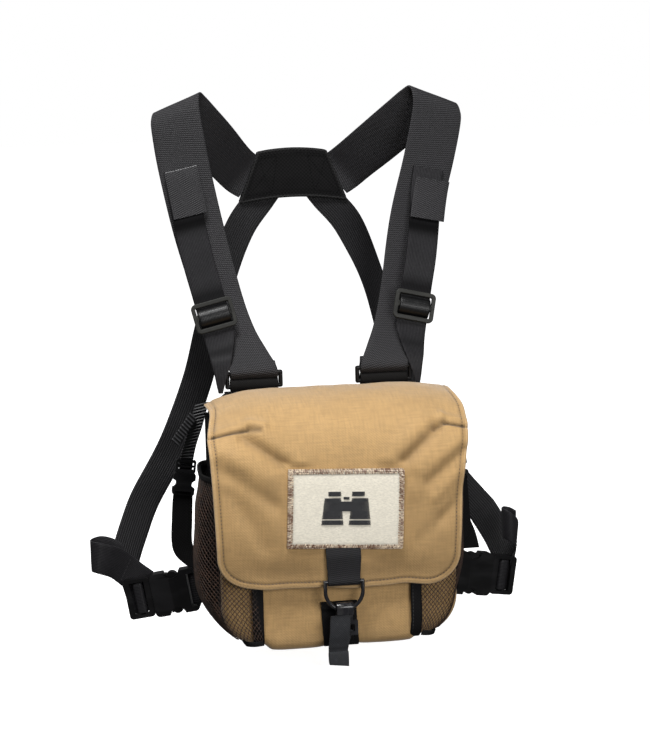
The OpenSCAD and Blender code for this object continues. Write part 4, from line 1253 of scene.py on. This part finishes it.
WING = [[92.8, -2.5, -59.4, *UPRIGHT, NARROW],
        *in_buckle((-6, 1.2), (-2.2, 2.4), (1.2, 3.3), (4.5, 1.9), (4.5, -1.9), (1.2, -3.3), (-2.2, -2.0),
                   (-5, -0.9))]
TETHER_LINE = [[94.5, -8.5, 88, 0.95, 0.1, -0.2, 11], [99.5, -6.4, 70, 0.96, 0, -0.2, 11.5],
               [104.6, -3.2, 54, 0.97, 0, -0.15, 11], [107, -0.4, 43, 0.98, 0, 0.05, 10.5],
               [108.2, 0.9, 34, 0.98, 0, 0.05, 10.5]]
TETHER_TAILS = {
    LEFT: [[101.5, -9.5, 79, 0.7, 0, 0.7], [108, -10, 70, 0.7, 0, 0.72], [117, -10, 58, 0.72, 0, 0.7]],
    RIGHT: [[99.5, -10.5, 78, 0.95, 0, 0.3], [102, -12, 66, 0.98, 0, 0.2], [103.5, -12, 52, 1, 0, 0.1]]}
TETHER_LOWER = [[110.9, -0.6, 17.4, 1, 0, 0.05, 15], [111.5, 0.2, 10, 1, 0, 0, 16], [112.4, 1.2, -6],
                [113.2, 1.8, -22, 1, 0, -0.1], [111.6, 1.8, -31, 0.93, 0, -0.36, 16],
                [106, 1, -39, 0.86, 0, -0.5, 13], [99, -0.4, -46, 0.85, 0, -0.5, 9]]
TETHER_HEM = [[112.4, 4, -4], [114.6, 4.4, -19, 1, 0, 0.1], [117.6, 4.8, -33, 1, 0, 0.1, 18],
              [119.2, 4.8, -44.6, 1, 0, 0, 20.5]]
ANCHOR = knots([[52, y, z] for y, z in ((-4.4, 95.8), (-5.8, 99.5), (-5.2, 103.2), (-3, 104.9),
                                        (-0.8, 103.2), (-0.3, 99.5), (-1.8, 95.8))], WIDE)


def make_shoulder(side, name):
    spread = 8 if side == RIGHT else 0
    # painted shade in the fold where the strap turns round its anchor
    strap(f"shoulder_web_{name}", on_side(shoulder_route(spread), side), WIDE_T, "wide",
          f"shoulder_strap_{name}", steps=10, ripple=0.5, seed=side, shade=[(9, 4, 0.5)])
    over = strap(f"overlay_{name}", on_side(OVERLAYS[side], side), 1.2, "wide", "strap_overlays", steps=8,
                 cup=0.3)
    last = over.run[-1] - 2.0
    facing = over.thick / 2 * (1 if np.dot(over.lift[5], (0, -1, 0)) > 0 else -1)
    # the left overlay's top seam takes the black thread's light grey second colour as a painted highlight;
    # the right one stays nearly dark
    radius, tone, top = (0.36, 1.0, 33.0) if side == LEFT else (0.24, 0.15, 43.0)
    black_seams.on_band(over, (0.8, -13), (0.8, 13), above=facing, pitch=1.9, share=0.9, radius=radius,
                        tone=tone)
    for x in (-12.2, 12.2):
        black_seams.on_band(over, (2.0, x), (last, x), above=facing, pitch=2.4, tone=0.12)
    # painted shadow just below the overlay's bottom edge, and weaker painted shade just above the tri-glide
    # and where the strap turns in below it
    shade = [(top - 4, 10, 1.0), (top + 5, 7, 0.97), (98, 7, 0.7), (144, 5, 0.5)]
    strap(f"adjuster_web_{name}", on_side(ADJUSTER, side), NARROW_T, "sleek", f"adjuster_strap_{name}",
          steps=8, ripple=0.5, seed=4 + side, shade=shade)
    bight = []
    for angle in range(-62, 63, 14):
        t = math.radians(angle)
        place = np.array(GLIDE_AT) + turned((0, 5.38 - 8.18 * math.cos(t), 8.18 * math.sin(t)), GLIDE_TURN)
        bight.append([*place, *turned((1, 0, 0), GLIDE_TURN), NARROW])
    strap(f"bight_web_{name}", on_side(bight, side), 1.5, "bight", f"glide_bight_{name}",
          body=f"glide_{name}", steps=4)
    strap(f"anchor_web_{name}", on_side(ANCHOR, side), 1.3, "elastic", "strap_anchors", steps=4)


def make_side(side, name):
    buckle = f"buckle_{name}"
    strap(f"side_web_{name}", on_side(knots(SIDES[side], NARROW), side), NARROW_T, "ribbed",
          f"side_strap_{name}", steps=14, ripple=0.5, seed=8 + side)
    end = Band(on_side(knots(ENDS[side], NARROW) + LADDER_END, side), NARROW_T, steps=10, ripple=0.3,
               seed=11 + side)
    blend_strap(end, f"side_end_{name}", "ribbed",
                f"strap_end_{name}")
    tail = knots(TAILS[side], NARROW)
    if side == LEFT:
        strap("ladder_web_left", on_side(LADDER_TURN, side), NARROW_T, "sleek", body=buckle, steps=8)
    else:
        tail = LADDER_TURN + tail
    loop = strap(f"pull_web_{name}", on_side(tail, side), NARROW_T, "sleek", f"pull_loop_{name}",
                 body=buckle, steps=8, ripple=0.3)
    sewn = Sewing(f"pull_loop_seams_{name}", buckle, "webbing", "black_thread")
    near = 22.0 if side == LEFT else loop.run[-1] * 0.62
    for face in (NARROW_T / 2, -NARROW_T / 2):
        sewn.on_band(loop, (near, -10), (near, 10), above=face, pitch=2.6, tone=0.15)
    sewn.finish()
    strap(f"wing_web_{name}", on_side(WING, side), NARROW_T, "ribbed", f"wing_tab_{name}", steps=5)


def make_tether(side, name):
    upper = Band(on_side(TETHER_LINE, side), 1.6, steps=12, cup=0.2)
    blend_strap(upper, f"tether_web_{name}", "narrow",
                f"tether_upper_{name}")
    strap(f"tether_tail_{name}", on_side(knots(TETHER_TAILS[side], 7.5), side), 1.6, "narrow", steps=10,
          cup=0.2)
    strap(f"tether_base_{name}", on_side(knots(TETHER_LOWER, 16.5), side), 1.5, "black_cloth",
          f"tether_lower_{name}", steps=10, ripple=0.3)
    if side == RIGHT:
        strap("tether_hem_right", knots(TETHER_HEM, 14), 1.5, "black_cloth", steps=10)


def yoke_point(a, b, y):
    """Point of the yoke: a from -1 to 1 across, b from 0 at its foot to 1 at its top."""
    foot_x, foot_z = 44 * a, 238.6 - 4.1 * a * a
    top_x, top_z = 28 * a, 277 - 2.5 * a * a
    puff = 0.5 * np.cos(a * 1.5) * np.sin(b * math.pi)
    out = -1 if y < YOKE_Y else 1
    ripple = wander(a / 0.35, b / 0.4, y)
    return np.stack([foot_x + (top_x - foot_x) * b, y + out * (puff + 0.7 * ripple),
                     foot_z + (top_z - foot_z) * b], -1)


def yoke_stitching():
    """Corners a, b of the yoke's lines of stitches: one round its edge, and a crossed box at each end."""
    lines = [[(-0.93, 0.08), (0.93, 0.08), (0.93, 0.93), (-0.93, 0.93), (-0.93, 0.08)]]
    for s in (-1, 1):
        lines += [[(s * 0.9, 0.12), (s * 0.42, 0.12), (s * 0.42, 0.88), (s * 0.9, 0.88)],
                  [(s * 0.9, 0.12), (s * 0.42, 0.88)], [(s * 0.9, 0.88), (s * 0.42, 0.12)]]
    return lines


def make_yoke():
    b, a = np.meshgrid(np.linspace(0, 1, 40), np.linspace(-1, 1, 80))
    rim = np.minimum(np.minimum(1 - np.abs(a), b * 0.6), (1 - b) * 0.6)
    # painted shade along the groove of the stitches round the yoke's edge
    tone = 0.5 * np.exp(-((rim - 0.075) / 0.02) ** 2)
    up, over = np.linspace(0, 1, 20), np.linspace(-1, 1, 60)
    edge_a = np.concatenate([np.full(20, -1), over, np.full(20, 1), np.linspace(1, -1, 60)])
    edge_b = np.concatenate([up, np.ones(60), np.linspace(1, 0, 20), np.zeros(60)])
    for name, out, front, depth in (("yoke_front", -1, YOKE_Y - 2.8, 1.6),
                                    ("yoke_back", 1, YOKE_Y + 5, -1.6)):
        outer = yoke_point(a, b, front)
        cloth = slab(name + "_cloth", outer, outer + [0, depth, 0], "yoke_cloth",
                     (outer[..., 0], outer[..., 2]), tone)
        settle(cloth, "pack", "black_fabric", name)
        for line in yoke_stitching():
            for start, end in zip(line, line[1:]):
                share = np.linspace(0, 1, 16)
                at_a, at_b = (low + (high - low) * share for low, high in zip(start, end))
                points = yoke_point(at_a, at_b, front) + [0, out * 0.1, 0]
                black_seams.seam(points, np.tile([0.0, float(out), 0.0], (16, 1)), pitch=2.6, tone=0.0)
        hem = yoke_point(edge_a, edge_b, front) + [0, depth / 2, 0]
        hem = hem[np.concatenate([[True], np.linalg.norm(np.diff(hem, axis=0), axis=1) > 0.2])]
        across = unit(np.cross(tangents(hem), (0, 1, 0)))
        route = np.concatenate([hem, across, np.full((len(hem), 1), 2.4)], 1)
        strap(name + "_hem", route, 2.2, "yoke_edge", slot="black_fabric", steps=1)


# ---------- CAD nodes that keep their shape ----------

def dress_nodes():
    """Materials, and how far edges are rounded, for the CAD nodes that stay."""
    looks = {"closure_ring": ("steel", 0), "closure_hook": ("steel", 0.35), "strap_loops": ("plastic", 0),
             "rear_wall": ("tan_inside", 0), "base_pad": ("foam", 0), "back_stiffener": ("board", 0)}
    for side in SIDE_NAMES.values():
        looks[f"tri_glide_{side}"] = ("glide", 0.8)
        for part, soft in (("buckle_female", 1.1), ("buckle_male", 1.1), ("latch_upper", 0.6),
                           ("latch_lower", 0.6), ("tether_male", 0.45), ("tether_female", 0.45)):
            looks[f"{part}_{side}"] = ("plastic", soft)
    for name, (look, soft) in looks.items():
        shown = nodes[name]
        shown.data.materials.clear()
        shown.data.materials.append(paint[look])
        if soft:
            weld = shown.modifiers.new("weld", "WELD")
            weld.merge_threshold = 0.00001
            bevel = shown.modifiers.new("soft_edges", "BEVEL")
            bevel.width = soft * MM
            bevel.segments = 3
            bevel.limit_method = "ANGLE"
            bevel.angle_limit = math.radians(35)
            bevel.harden_normals = True
            bevel.use_clamp_overlap = True


# ---------- build ----------

place_camera()
light_scene()
lay_floor()
make_flap()
make_patch()
make_closure()
make_front()
make_walls()
make_back()
make_pockets()
make_yoke()
for side, name in SIDE_NAMES.items():
    make_shoulder(side, name)
    make_side(side, name)
    make_tether(side, name)
black_seams.finish()
dress_nodes()
